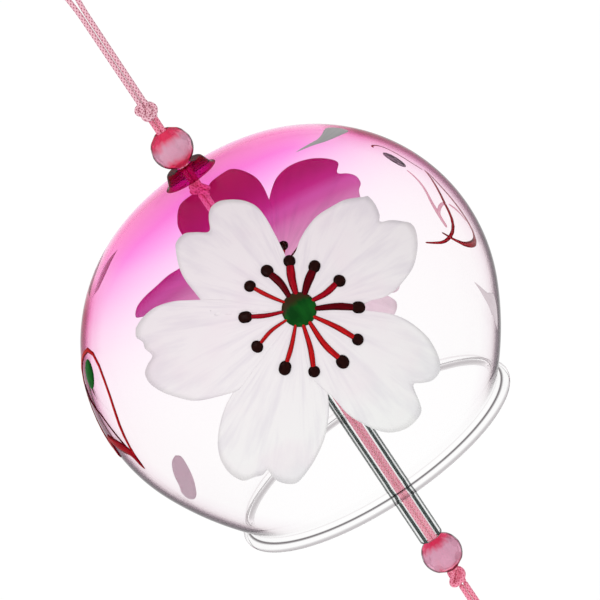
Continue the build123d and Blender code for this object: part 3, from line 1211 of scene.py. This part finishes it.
@dataclass
class Blossom:
    """A blossom of white petals with stalks, anthers and a green disc at its heart."""

    label: str
    azimuth: float
    latitude: float
    turn: float
    petals: tuple[tuple[str, Line], ...]
    anthers: Line
    stalks: tuple[tuple[float, Pigment], ...]
    disc_radius: float = 3.0
    anther_radius: float = 1.06
    stalk_bow: float = 0.045
    stalk_middle: float = 0.62
    stalk_reach: float = 0.965
    stalk_widths: Widths = (0.62, 0.88, 1.05, 0.9)
    stalk_height: float = 0.12
    anther_height: float = 0.42
    disc_height: float = 0.40
    lifts: tuple[float, float, float] = (0.10, 0.12, 0.14)

    def build(self, glaze: Glaze, box: PaintBox) -> None:
        """Paints the blossom.

        Args:
            glaze: The bell's outside.
            box: The paints.
        """
        painter = Painter(glaze, self.label, self.azimuth, self.latitude, turn=self.turn)
        for number, (name, outline) in enumerate(self.petals):
            painter.petal(name, outline, (box.white, box.under), lift=0.05 + 0.012 * (number % 3))
        self.heart(painter, box)
        painter.hang()

    def heart(self, painter: Painter, box: PaintBox) -> None:
        """Paints the stalks, the anthers and the disc.

        Args:
            painter: What lays them on the glass.
            box: The paints.
        """
        lines, dots = {}, []
        disc, dot = self.disc_radius, self.anther_radius
        for number, ((x, y), (width, pigment)) in enumerate(zip(self.anthers, self.stalks)):
            far = math.hypot(x, y)
            bow = self.stalk_bow * math.sin(number * 2.1 + 0.6)
            middle = (x * self.stalk_middle - y * bow, y * self.stalk_middle + x * bow)
            inner = (x * (disc - 0.7) / far, y * (disc - 0.7) / far)
            outer = (x * self.stalk_reach, y * self.stalk_reach)
            line = painter.stroke(f"stalk_{number}", (inner, middle, outer),
                                  [share * width for share in self.stalk_widths],
                                  self.stalk_height * (1 + width), box.inks[pigment], self.lifts[0])
            lines.setdefault(pigment, []).append(line)
            along = dot * (1.08 + 0.12 * math.sin(number * 2.9))
            dots.append(painter.stroke(
                f"anther_{number}",
                ((x - x / far * along, y - y / far * along), (x + x / far * along, y + y / far * along)),
                (2 * dot, 2 * dot * (1 + 0.06 * math.sin(number * 4.1)), 2 * dot),
                self.anther_height, box.inks[Pigment.BROWN_BLACK], self.lifts[1]))
        for pigment, group in lines.items():
            painter.join("stalks_" + pigment.name.lower(), group)
        painter.join("anthers", dots)
        painter.stroke("disc", ((-disc, 0.0), (disc, 0.0)), (2 * disc,) * 3, self.disc_height, box.heart,
                       self.lifts[2])


@dataclass
class FrontBlossom(Blossom):
    """The large white blossom on the front."""

    label: str = "front_blossom"
    azimuth: float = 4.31
    latitude: float = 18.25
    turn: float = 0.69
    petals: tuple[tuple[str, Line], ...] = (
        ("petal_upper_left", (
            (3.5, 9.2), (3.8, 10.5), (4.5, 14.4), (5.1, 18.2), (5.1, 21.8), (3.6, 25.3), (0.6, 28.4),
            (-1.5, 28.7), (-2.9, 27.6), (-3.9, 25.7), (-5.2, 23.0), (-7.6, 25.1), (-9.7, 26.7), (-12.0, 26.1),
            (-13.0, 23.9), (-13.9, 20.3), (-14.1, 17.1), (-13.7, 13.6), (-13.3, 10.4), (-12.8, 7.6))),
        ("petal_upper_right", (
            (10.0, -5.6), (11.1, -5.6), (13.7, -6.5), (16.3, -6.6), (19.2, -6.0), (21.9, -5.1), (24.1, -3.6),
            (26.0, -1.8), (27.4, 0.4), (27.4, 1.9), (26.2, 3.0), (24.1, 4.4), (22.0, 5.2), (22.9, 6.4),
            (23.7, 8.5), (23.8, 10.7), (22.8, 11.1), (19.5, 12.4), (16.6, 12.6), (13.0, 12.5), (10.0, 11.6),
            (7.4, 10.3), (5.3, 8.8), (3.2, 8.2))),
        ("petal_lower_right", (
            (-5.0, -10.2), (-4.3, -13.4), (-3.7, -15.4), (-3.4, -17.2), (-3.0, -20.2), (-1.9, -23.1),
            (-0.2, -26.4), (2.0, -29.0), (5.0, -30.5), (7.8, -30.4), (9.6, -29.2), (10.0, -26.2),
            (10.0, -24.9), (10.4, -23.1), (12.2, -24.2), (14.4, -25.2), (16.4, -24.8), (17.2, -23.6),
            (17.6, -21.5), (17.4, -18.2), (16.8, -15.9), (15.5, -12.9), (14.0, -10.6), (11.9, -8.5),
            (9.8, -6.8), (9.0, -5.6))),
        ("petal_lower", (
            (-16.5, -4.4), (-17.7, -5.4), (-20.1, -6.6), (-22.6, -8.4), (-24.9, -10.5), (-26.6, -12.6),
            (-27.9, -15.1), (-28.4, -17.8), (-28.1, -19.9), (-27.1, -21.5), (-24.6, -21.8), (-23.1, -22.2),
            (-21.5, -21.7), (-21.6, -23.1), (-21.5, -25.1), (-20.3, -26.9), (-18.5, -27.7), (-15.3, -26.3),
            (-12.3, -24.5), (-9.2, -22.1), (-6.8, -19.5), (-5.1, -17.1), (-4.0, -14.9), (-3.4, -13.4),
            (-2.6, -10.6))),
        ("petal_left", (
            (-10.2, 9.4), (-12.6, 11.1), (-15.2, 12.95), (-18.3, 15.0), (-22.1, 16.5), (-25.5, 16.6),
            (-27.9, 15.9), (-28.2, 15.6), (-28.9, 14.2), (-28.0, 12.4), (-28.2, 11.0), (-27.5, 8.9),
            (-29.4, 8.1), (-31.0, 7.0), (-31.1, 4.8), (-29.6, 2.0), (-27.4, -0.5), (-25.1, -2.6),
            (-22.9, -3.7), (-20.0, -4.7), (-17.7, -5.4), (-16.4, -5.6))),
    )
    anthers: Line = (
        (3.5, 8.0), (6.5, 4.7), (8.6, 0.2), (8.7, -5.4), (5.5, -9.9), (1.2, -11.6), (-3.8, -10.2),
        (-7.6, -6.9), (-9.5, -1.2), (-8.4, 4.2), (-4.7, 8.3), (-0.7, 8.8))
    stalks: tuple[tuple[float, Pigment], ...] = (
        (1.5, Pigment.CRIMSON), (1.5, Pigment.DARK_CRIMSON), (1.1, Pigment.CRIMSON),
        (1.25, Pigment.DARK_CRIMSON), (0.95, Pigment.RED), (1.05, Pigment.RED), (0.95, Pigment.RED),
        (0.8, Pigment.RED), (0.65, Pigment.RED), (0.8, Pigment.CRIMSON), (0.75, Pigment.RED),
        (1.35, Pigment.DARK_CRIMSON))


@dataclass
class BackBlossom(Blossom):
    """The white blossom on the back, seen through the pink glass."""

    label: str = "back_blossom"
    azimuth: float = 173.75
    latitude: float = -2.17
    turn: float = -0.69
    petals: tuple[tuple[str, Line], ...] = (
        ("petal_top", (
            (-5.6, 12.4), (-6.0, 14.2), (-6.7, 17.8), (-6.8, 21.3), (-5.8, 25.0), (-4.1, 27.8), (-1.8, 28.0),
            (1.0, 27.4), (2.4, 26.2), (3.8, 26.8), (6.0, 27.4), (9.2, 26.9), (11.5, 23.1), (12.1, 20.2),
            (11.9, 17.0), (11.0, 13.6), (9.8, 10.8))),
        ("petal_upper_left", (
            (-13.6, -1.6), (-16.4, -0.4), (-19.2, 2.0), (-21.4, 4.6), (-22.8, 7.5), (-24.3, 9.1),
            (-24.5, 11.1), (-23.3, 12.4), (-21.4, 13.4), (-23.3, 15.9), (-22.5, 17.7), (-19.9, 19.4),
            (-16.7, 20.1), (-13.6, 19.9), (-10.6, 18.7), (-8.4, 16.9), (-6.0, 14.2), (-5.0, 12.6))),
        ("petal_upper_right", (
            (9.2, 11.2), (12.0, 12.0), (16.5, 12.6), (18.9, 13.0), (22.3, 13.0), (25.9, 13.1), (28.5, 12.6),
            (29.7, 11.0), (27.7, 9.2), (29.2, 6.6), (29.0, 3.2), (27.0, 0.2), (23.6, -1.8), (19.6, -2.8),
            (15.6, -2.9), (12.4, -2.9))),
        ("petal_lower_left", tuple(polar_petal(131, 0.86))),
        ("petal_lower_right", tuple(polar_petal(203, 0.86))),
    )
    anthers: Line = (
        (-3.1, 3.9), (1.2, 8.2), (4.6, 7.4), (7.6, 4.6), (8.8, 0.4), (7.9, -4.2), (4.8, -7.8), (0.4, -8.9),
        (-4.2, -8.0), (-7.6, -4.8), (-8.8, -0.4), (-9.6, 2.4))
    disc_radius: float = 2.9
    anther_radius: float = 1.0
    stalks: tuple[tuple[float, Pigment], ...] = tuple(
        (1.0 + 0.3 * math.sin(i * 1.9), Pigment.DARK_CRIMSON if i % 3 else Pigment.CRIMSON)
        for i in range(12))


@dataclass
class Bud:
    """A bud drawn on one side of the bell in raised lines of little gloss."""

    label: str
    azimuth: float
    latitude: float
    groups: dict[str, tuple[tuple[str, Line, Widths, float, Pigment, float], ...]]

    def build(self, glaze: Glaze, box: PaintBox) -> None:
        """Paints the bud, and joins the strokes of each group into one piece.

        Args:
            glaze: The bell's outside.
            box: The paints.
        """
        painter = Painter(glaze, self.label, self.azimuth, self.latitude)
        for group, strokes in self.groups.items():
            made = [painter.stroke(name, points, widths, height, box.dry_inks[pigment], lift)
                    for name, points, widths, height, pigment, lift in strokes]
            if len(made) > 1:
                painter.join(group, made)
        painter.hang()


LEFT_BUD = Bud("left_bud", -77.92, 23.09, {
    "edge": (
        ("edge", (
            (-4.6, -15.6), (-9.0, -10.6), (-10.8, -5.4), (-9.6, -1.6), (-7.8, 0.7), (-3.8, 3.1), (-0.6, 4.3),
            (2.7, 3.9), (5.4, 2.0), (7.5, -1.5), (8.3, -4.9), (8.2, -8.9), (8.0, -13.1), (8.0, -15.6),
            (8.1, -17.9)),
         (0.6, 1.1, 1.5, 1.2, 0.75, 0.8, 0.95, 0.4), 0.14, Pigment.RED, 0.06),),
    "lines": (
        ("fold", ((-4.6, -5.4), (-1.2, -6.8), (1.3, -7.7), (4.4, -10.6), (6.4, -13.1), (7.4, -15.2)),
         (0.6, 0.42, 0.42, 0.5, 0.6), 0.12, Pigment.DARK_CRIMSON, 0.06),
        ("wedge", ((-8.4, -3.4), (-6.2, -4.8), (-3.6, -6.0)),
         (1.5, 1.7, 0.6), 0.14, Pigment.DARK_CRIMSON, 0.06),
        ("calyx_a", ((-2.0, -12.3), (0.6, -12.9), (3.5, -13.5), (7.0, -14.6), (8.1, -18.1)),
         (1.6, 2.5, 2.8, 2.1, 0.4), 0.2, Pigment.CRIMSON, 0.08),
        ("calyx_b", ((-1.6, -12.2), (-2.4, -14.4), (-2.4, -17.0)),
         (1.6, 2.1, 0.4), 0.2, Pigment.CRIMSON, 0.08)),
    "spot": (("spot", ((-0.8, 2.6), (0.0, -2.7)), (5.0, 5.4, 5.0), 0.3, Pigment.GREEN, 0.1),),
})
RIGHT_BUD = Bud("right_bud", 110.0, 18.26, {
    "lines": (
        ("edge_a", (
            (-5.2, -4.0), (-2.5, -8.4), (-0.4, -13.0), (0.0, -15.4), (0.6, -17.4), (2.2, -19.3), (4.6, -20.6),
            (7.2, -21.2), (10.1, -20.9), (12.3, -20.4)),
         (0.6, 0.75, 0.85, 1.0, 0.9, 0.6, 0.3), 0.14, Pigment.CRIMSON, 0.06),
        ("edge_b", (
            (-5.2, -4.4), (-5.4, -8.9), (-7.4, -13.3), (-9.2, -16.3), (-9.8, -18.4), (-7.8, -20.5),
            (-4.6, -21.6), (-1.2, -21.9), (1.1, -21.5), (3.6, -20.7), (6.3, -19.3)),
         (0.6, 0.9, 1.2, 1.5, 1.6, 1.2, 0.6, 0.3), 0.14, Pigment.CRIMSON, 0.06),
        ("edge_c", (
            (4.6, 3.2), (3.9, 3.8), (2.4, 3.9), (0.7, 3.4), (-0.2, 2.0), (-0.8, -0.1), (-1.8, -2.5),
            (-3.5, -4.4)),
         (0.5, 0.45, 0.35, 0.3), 0.12, Pigment.CRIMSON, 0.06)),
    "folds": (
        ("fold_a", ((3.9, -4.8), (3.5, -7.0), (3.6, -9.5), (4.5, -13.1), (4.4, -16.3), (3.8, -18.5)),
         (0.4, 0.7, 0.8, 1.2, 0.8), 0.08, Pigment.PALE_RED, 0.05),
        ("fold_b", ((4.6, -16.2), (3.6, -14.8), (1.3, -13.6), (-0.9, -13.3)),
         (0.9, 0.8, 0.5), 0.08, Pigment.PALE_RED, 0.05),
        ("fold_c", ((-2.0, -13.4), (-5.2, -14.6), (-7.6, -16.3)),
         (0.5, 0.8, 0.5), 0.08, Pigment.PALE_RED, 0.05)),
    # The bud's green heart, painted grey-black as painted shade, as it looks from inside the bell.
    "spot": (("spot", ((4.5, 0.9), (3.2, -4.0)), (2.4, 3.2, 2.4), 0.3, Pigment.GREY_BLACK, 0.1),),
})


@dataclass
class LoosePetals:
    """The loose petals scattered between the blossoms."""

    low_left: Line = (
        (-5.5, 2.9), (-3.0, 3.0), (0.6, 2.0), (4.6, 0.3), (8.5, -0.5), (10.3, -1.8), (8.2, -3.0), (4.3, -3.4),
        (-0.2, -2.5), (-3.4, -1.0), (-5.6, 0.8), (-6.3, 1.9))
    # The mauve and slate finishes below are painted shade on white petals.
    drift: tuple[tuple[str, str, str, float, float, Line, Widths], ...] = (
        ("top_right", "slate", "slate", 75.13, 47.85, (
            (-7.2, 5.0), (-3.4, 1.7), (-1.9, 0.5), (0.8, -0.7), (4.0, -1.6), (7.6, -2.5)), (0.2, 0.9, 1.8,
            3.0, 4.2, 4.6)),
        ("faint_right", "mauve", "mauve", 58.58, -16.4, (
            (-3.0, 5.4), (-2.0, 3.6), (-0.3, 0.8), (2.2, -2.2), (2.9, -4.6), (3.0, -7.8)), (0.2, 1.0, 2.0,
            4.2, 2.8, 0.3)),
        ("far_left", "white", "plum", -122.87, 40.91, (
            (-5.9, 2.0), (-3.7, 1.2), (-1.6, 0.4), (0.4, -0.1), (3.5, -0.35), (5.8, -0.5), (8.7, -0.5)),
         (0.5, 2.8, 5.4, 6.6, 5.0, 2.4, 0.5)),
    )

    def build(self, glaze: Glaze, box: PaintBox) -> None:
        """Paints them.

        Args:
            glaze: The bell's outside.
            box: The paints.
        """
        painter = Painter(glaze, "loose_petal", -109.19, -25.94)
        middle = tuple(float(v) for v in np.mean(self.low_left, axis=0))
        painter.petal("low_left", (*self.low_left, self.low_left[0]), (box.white, box.loose["mauve"]),
                      heart=middle)
        painter.hang()
        for name, outside, inside, azimuth, latitude, spine, widths in self.drift:
            painter = Painter(glaze, "loose_petal", azimuth, latitude)
            painter.stroke(name, spine, widths, 0.06, box.loose.get(outside, box.white), 0.03,
                           box.loose[inside])
            painter.hang()


@dataclass
class Bell:
    """The blown glass bell."""

    shape: BellShape = field(default_factory=BellShape)
    steps: int = 224

    def build(self) -> None:
        """Blows the bell, with the run down the wall kept on each vertex for the colour."""
        section = self.shape.section()
        obj = turned("bell_glass", [point[:2] for point in section], self.steps)
        places = get_places(obj) / MM
        flat = np.stack([np.hypot(places[:, 0], places[:, 1]), places[:, 2]], 1)
        line = np.array(section)
        nearest = np.empty(len(flat), int)
        for start in range(0, len(flat), 4000):
            part = flat[start:start + 4000]
            gap = ((part[:, None, :] - line[None, :, :2]) ** 2).sum(2)
            nearest[start:start + 4000] = gap.argmin(1)
        for name, values in (("wall_run", line[nearest, 2] / RUN_SPAN), ("wall_inside", line[nearest, 3])):
            attribute = obj.data.attributes.new(name, "FLOAT", "POINT")
            attribute.data.foreach_set("value", values.astype(np.float32))
        obj.data.materials.append(BlownGlass().material())
        finish_piece(obj, Body.BELL, "bell_glass", "glass_bell")


def nurbs_line(name: str, points: Sequence[Sequence[float]]) -> np.ndarray:
    """Reads the smooth line that a NURBS spline makes of a cord's route.

    Args:
        name: A name for the spline.
        points: The route in millimetres.

    Returns:
        Places along the line in millimetres.
    """
    curve = bpy.data.curves.new(name, "CURVE")
    curve.dimensions = "3D"
    spline = curve.splines.new("NURBS")
    spline.points.add(len(points) - 1)
    for knot, place in zip(spline.points, points):
        knot.co = (*(v * MM for v in place), 1.0)
    spline.order_u = 3
    spline.use_endpoint_u = True
    spline.resolution_u = 24
    carrier = bpy.data.objects.new(name, curve)
    bpy.context.scene.collection.objects.link(carrier)
    mesh = bpy.data.meshes.new_from_object(carrier)
    places = np.array([v.co[:] for v in mesh.vertices]) / MM
    bpy.data.objects.remove(carrier)
    bpy.data.curves.remove(curve)
    bpy.data.meshes.remove(mesh)
    return places


@dataclass
class BraidTube:
    """A length of braided cord along a line."""

    name: str
    line: np.ndarray
    finish: BraidedCord = ROSE_BRAID
    diameter: float = 0.95
    sides: int = 16
    step: float = 0.22
    relief: float = 0.09

    def build(self) -> Piece:
        """Makes the cord as a closed tube whose braid stands out a little.

        Returns:
            The cord.
        """
        length = line_length(self.line)
        rings = max(16, int(length / self.step))
        path = resample(self.line, rings + 1)
        start = path[1] - path[0]
        first = np.cross(start / np.linalg.norm(start), ACROSS)
        way, side = carried_side(path, first / np.linalg.norm(first))
        other = np.cross(way, side)
        radius = self.diameter / 2
        picks, strands = self.finish.picks, self.finish.strands

        def lay(u: np.ndarray, v: np.ndarray) -> np.ndarray:
            """Wraps the braid round the line.

            Args:
                u: How far round the cord, from 0 to 1.
                v: How far along it, from 0 to 1.

            Returns:
                Places in metres.
            """
            i = np.clip(np.rint(v * rings).astype(int), 0, rings)
            left = np.sin((u * strands + v * length * picks) * 2 * math.pi)
            right = np.sin((u * strands - v * length * picks) * 2 * math.pi)
            swell = 1 - self.relief * (1 - np.maximum(left, right)) / 2
            end = np.clip(np.minimum(v, 1 - v) * length / radius, 0, 1)
            round_off = np.sqrt(np.clip(1 - (1 - end) ** 2, 0, 1))
            reach = (radius * swell * round_off)[:, None]
            turn = (u * 2 * math.pi)[:, None]
            return (path[i] + reach * (np.cos(turn) * side[i] + np.sin(turn) * other[i])) * MM

        obj = wrap_grid(self.name, self.sides, rings, lay)
        obj.data.materials.append(self.finish.material(length, "braid_" + self.name))
        return obj


def bend_cord(obj: Piece, node: str, above: Body, below: Body, pivot: float) -> None:
    """Hides the solid that a cord stands for, bakes the cord's transform into its mesh and logs the bodies at
    its ends.

    Args:
        obj: The cord.
        node: The solid that it stands for.
        above: The body at its upper end.
        below: The body at its lower end.
        pivot: Not used.
    """
    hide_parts(node)
    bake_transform(obj)
    LOG.info("%s bends from %s to %s", obj.name, above.value, below.value)


@dataclass
class CordWork:
    """Every stretch of the doubled cord and its knots, in millimetres."""

    strand: float = 0.475
    cord: float = 0.9
    upper_knot: Point = (-39.053, -35.353)
    inner_knot: Point = (-56.84, -53.14)
    lower_knot: Point = (-148.103, -144.403)
    bell_pivot: float = -39.953
    clapper_pivot: float = -57.74
    strip_pivot: float = -149.003
    cord_end: float = -144.328
    knot_end: float = 2.12
    knot_fade: Point = (1.62, 0.5)
    knot_size: tuple[float, float, float] = (0.52, 0.125, 0.44)

    def build(self) -> None:
        """Makes the loop, the strands, the knots and the cord of the strip."""
        self.hanging_loop()
        self.strands()
        self.strip_cord()
        self.knot("knot_above_bead", *self.upper_knot, Body.HANGER, "upper_knot", 0.2, PALE_BRAID)
        self.knot("knot_in_bell", *self.inner_knot, Body.NECK, "inner_knot", 1.5, ROSE_BRAID)
        self.knot("knot_below_bead", *self.lower_knot, Body.LOWER_KNOT, "lower_knot", -0.4, ROSE_BRAID)

    def hanging_loop(self) -> None:
        """Makes the hanging loop, up from the knot, round the hook and down again."""
        half = [(self.strand, 0, -36.353), (0.518, 0, -22.0), (0.55, 0, -11.5), (2.95, 0, -1.278),
                (1.222, 0, 0.45)]
        route = half + [(-x, y, z) for x, y, z in reversed(half)]
        line = nurbs_line("hanging_line", route)
        obj = BraidTube("hanging_loop_cord", line, PALE_BRAID).build()
        finish_piece(obj, Body.HANGER, "cord", "hanging_cord")

    def strands(self) -> None:
        """Makes the pairs of strands through the bead and the neck, and through the tube."""
        for side, name in ((-1, "left"), (1, "right")):
            x = side * self.strand
            neck = np.linspace((x, 0, self.inner_knot[1] - 1.6), (x, 0, self.upper_knot[0] + 1.0), 40)
            obj = BraidTube(f"neck_strand_{name}", neck).build()
            bend_cord(obj, f"neck_cord_{name}", Body.HANGER, Body.NECK, self.bell_pivot)
            route = [(x, 0, self.inner_knot[0] + 1.2), (x, 0, -100.0), (x, 0, self.cord_end - 0.9)]
            line = nurbs_line("clapper_line", route)
            obj = BraidTube(f"clapper_strand_{name}", line, TUBE_BRAID).build()
            bend_cord(obj, f"clapper_cord_{name}", Body.NECK, Body.CLAPPER, self.clapper_pivot)
            round(line_length(line)) * MM

    def strip_cord(self) -> None:
        """Makes the cord below, which carries the strip on its bight."""
        half = [(self.strand, 0, self.strip_pivot + 0.95)]
        half += [(x, y, self.strip_pivot - drop) for x, y, drop in (
            (0.52, 0.1, 5.2), (0.42, 0.85, 9.8), (0.1, 1.75, 15.4), (0.0, 1.9, 19.3), (0.0, 1.3, 21.0))]
        route = half + [(-x, -y, z) for x, y, z in reversed(half)]
        line = nurbs_line("strip_line", route)
        obj = BraidTube("strip_loop_cord", line).build()
        bend_cord(obj, "strip_cord", Body.LOWER_KNOT, Body.STRIP_CORD, self.strip_pivot)

    def knot(self, name: str, low: float, high: float, body: Body, node: str, turn: float,
             finish: BraidedCord) -> None:
        """Ties an overhand knot of the doubled cord.

        Args:
            name: The piece's name.
            low: Its lowest point.
            high: Its highest point.
            body: The body that carries it.
            node: The solid that it stands for.
            turn: Radians that it is turned by about the cord.
            finish: The cord's finish.
        """
        half = (high - low) / 2
        t = np.linspace(-self.knot_end, self.knot_end, 300)
        fade = np.clip((np.abs(t) - self.knot_fade[0]) / self.knot_fade[1], 0, 1)
        fade = fade * fade * (3 - 2 * fade)
        rise = (t ** 3 - 3 * t) * self.knot_size[2]
        rise = rise * (1 - fade) + np.sign(t) * (half - 0.35) * fade
        across = (t ** 4 - 4 * t ** 2 + 2.0) * self.knot_size[0] * (1 - fade)
        depth = (t ** 5 - 10 * t) * self.knot_size[1] * (1 - fade)
        cos, sin = math.cos(turn), math.sin(turn)
        spine = np.stack([across * cos - depth * sin, across * sin + depth * cos, rise], 1)
        ends = np.linspace(0, 1, 24)[:, None]
        foot = np.array([0, 0, -half + 0.3])
        head = np.array([0, 0, half - 0.3])
        spine = np.vstack([foot + (spine[0] - foot) * ends[:-1], spine,
                           spine[-1] + (head - spine[-1]) * ends[1:]])
        spine = resample(spine, 320)
        way, side = carried_side(spine, (1, 0, 0))
        over = np.cross(way, side)
        twist = -math.atan2(float(side[-1][1]), float(side[-1][0]))
        angle = (twist * np.linspace(0, 1, len(spine)))[:, None]
        aside = np.cos(angle) * side + np.sin(angle) * over
        strands = []
        for sign in (-1, 1):
            line = spine + sign * aside * self.strand + np.array([0, 0, (low + high) / 2])
            line[:, 2] = np.clip(line[:, 2], low + 0.02, high - 0.02)
            strands.append(BraidTube(f"{name}_{'a' if sign < 0 else 'b'}", line, finish, step=0.16).build())
        whole = join_pieces(name, strands)
        finish_piece(whole, body, "knot", node)


@dataclass
class ClapperTube:
    """The clear glass tube."""

    low: float = -136.715
    high: float = -76.715
    radius: float = 2.4
    bore: float = 1.5
    end_round: float = 0.3

    def build(self) -> None:
        """Draws the tube with fire-polished ends."""
        middle = (self.radius, (self.low + self.high) / 2)
        corners = [middle, (self.radius, self.high), (self.bore, self.high), (self.bore, self.low),
                   (self.radius, self.low), middle]
        section = rounded(corners, [self.end_round] * 4, 6)[:-1]
        obj = turned("glass_tube", section, 72)
        places = get_places(obj) / MM
        inside = np.hypot(places[:, 0], places[:, 1]) < self.bore + 0.1
        obj.data.attributes.new("bore", "FLOAT", "POINT").data.foreach_set("value", inside.astype(np.float32))
        obj.data.materials.append(DrawnGlass().material())
        finish_piece(obj, Body.TUBE, "tube_glass", "clapper_tube")


def dress_solids() -> None:
    """Gives the solids that keep their own shape their finishes."""
    finishes = (("upper_bead", BeadGlass(-45.547).material("upper_bead_glass")),
                ("lower_bead", BeadGlass(-140.559, reach=(0.55, 1.0)).material("lower_bead_glass")),
                ("paper_strip", StripPaper().material()))
    for node, finish in finishes:
        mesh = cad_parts[node].data
        mesh.materials.clear()
        mesh.materials.append(finish)
        LOG.info("%s keeps its shape", node)


@dataclass(frozen=True)
class Studio:
    """Camera, lights, floor and world."""

    target: tuple[float, float, float] = (0.0, 0.0, -0.086)
    distance: float = 0.6912
    elevation: float = 16.555
    roll: float = 33.70
    pixels: float = 600.0
    focal_pixels: float = 3710.4
    aim: Point = (289.53, 324.09)
    floor_z: float = -0.272
    fill: float = 0.66
    glow: float = 0.60
    key_power: float = 0.80
    key_spread: float = 32.0
    key_tilt: Point = (42.0, -24.0)
    sensor: float = 36.0

    def camera(self) -> None:
        """Places the camera at the photograph's viewpoint."""
        up_angle, roll = math.radians(self.elevation), math.radians(self.roll)
        back = np.array([0, -math.cos(up_angle), math.sin(up_angle)])
        right = np.array([1.0, 0, 0])
        up = np.array([0, math.sin(up_angle), math.cos(up_angle)])
        local_x = right * math.cos(roll) - up * math.sin(roll)
        local_y = right * math.sin(roll) + up * math.cos(roll)
        place = np.array(self.target) + back * self.distance
        data = bpy.data.cameras.new("camera")
        data.sensor_fit = "HORIZONTAL"
        data.sensor_width = self.sensor
        data.lens = self.focal_pixels / self.pixels * self.sensor
        data.shift_x = (self.pixels / 2 - self.aim[0]) / self.pixels
        data.shift_y = (self.aim[1] - self.pixels / 2) / self.pixels
        data.clip_start = 0.01
        data.clip_end = 50.0
        obj = bpy.data.objects.new("camera", data)
        rows = [[float(v[i]) for v in (local_x, local_y, back, place)] for i in range(3)]
        obj.matrix_world = Matrix([*rows, [0, 0, 0, 1]])
        bpy.context.scene.collection.objects.link(obj)
        bpy.context.scene.camera = obj

    def lights(self) -> None:
        """Lights the object evenly, with a soft key from the upper left."""
        data = bpy.data.lights.new("key", "SUN")
        data.energy = self.key_power
        data.angle = math.radians(self.key_spread)
        obj = bpy.data.objects.new("key", data)
        obj.rotation_euler = (*map(math.radians, self.key_tilt), 0)
        bpy.context.scene.collection.objects.link(obj)

    def world(self) -> None:
        """Makes the surroundings white to the eye, in gloss and in glass, and plain as light."""
        t = Tree("world", in_world=True)
        path = t.add("LightPath")
        seen = t.math("MAXIMUM", path.outputs["Is Camera Ray"], path.outputs["Is Transmission Ray"])
        seen = t.math("MAXIMUM", seen, path.outputs["Is Glossy Ray"])
        level = t.math("MULTIPLY_ADD", seen, 1.0 - self.fill, self.fill)
        ground = t.add("Background", {"Color": (*WHITE, 1), "Strength": level})
        t.show(ground)

    def floor(self) -> None:
        """Lays the pale floor, which keeps the object's shadow."""
        deselect()
        bpy.ops.mesh.primitive_circle_add(vertices=96, radius=20.0, fill_type="NGON",
                                          location=(0, 0, self.floor_z))
        obj = name_active("floor")
        t = Tree("floor_paper")
        matte = t.add("BsdfDiffuse", {"Color": (0.5, 0.5, 0.5, 1)})
        light = t.add("Emission", {"Color": (*WHITE, 1), "Strength": self.glow})
        obj.data.materials.append(t.show(t.add("AddShader", {0: matte.outputs[0], 1: light.outputs[0]})))

    def build(self) -> None:
        """Sets up the studio and the plain view transform."""
        self.camera()
        self.lights()
        self.world()
        self.floor()
        bpy.context.scene.view_settings.view_transform = "Standard"


def main() -> None:
    """Builds the studio and the wind bell, piece by piece."""
    logging.basicConfig(level=logging.INFO, format="%(message)s")
    Studio().build()
    CordWork().build()
    Bell().build()
    ClapperTube().build()
    glaze = Glaze(BellShape())
    box = PaintBox.mixed()
    for drawing in (FrontBlossom(), BackBlossom(), LEFT_BUD, RIGHT_BUD, LoosePetals()):
        drawing.build(glaze, box)
    dress_solids()


if __name__ == "__main__":
    main()
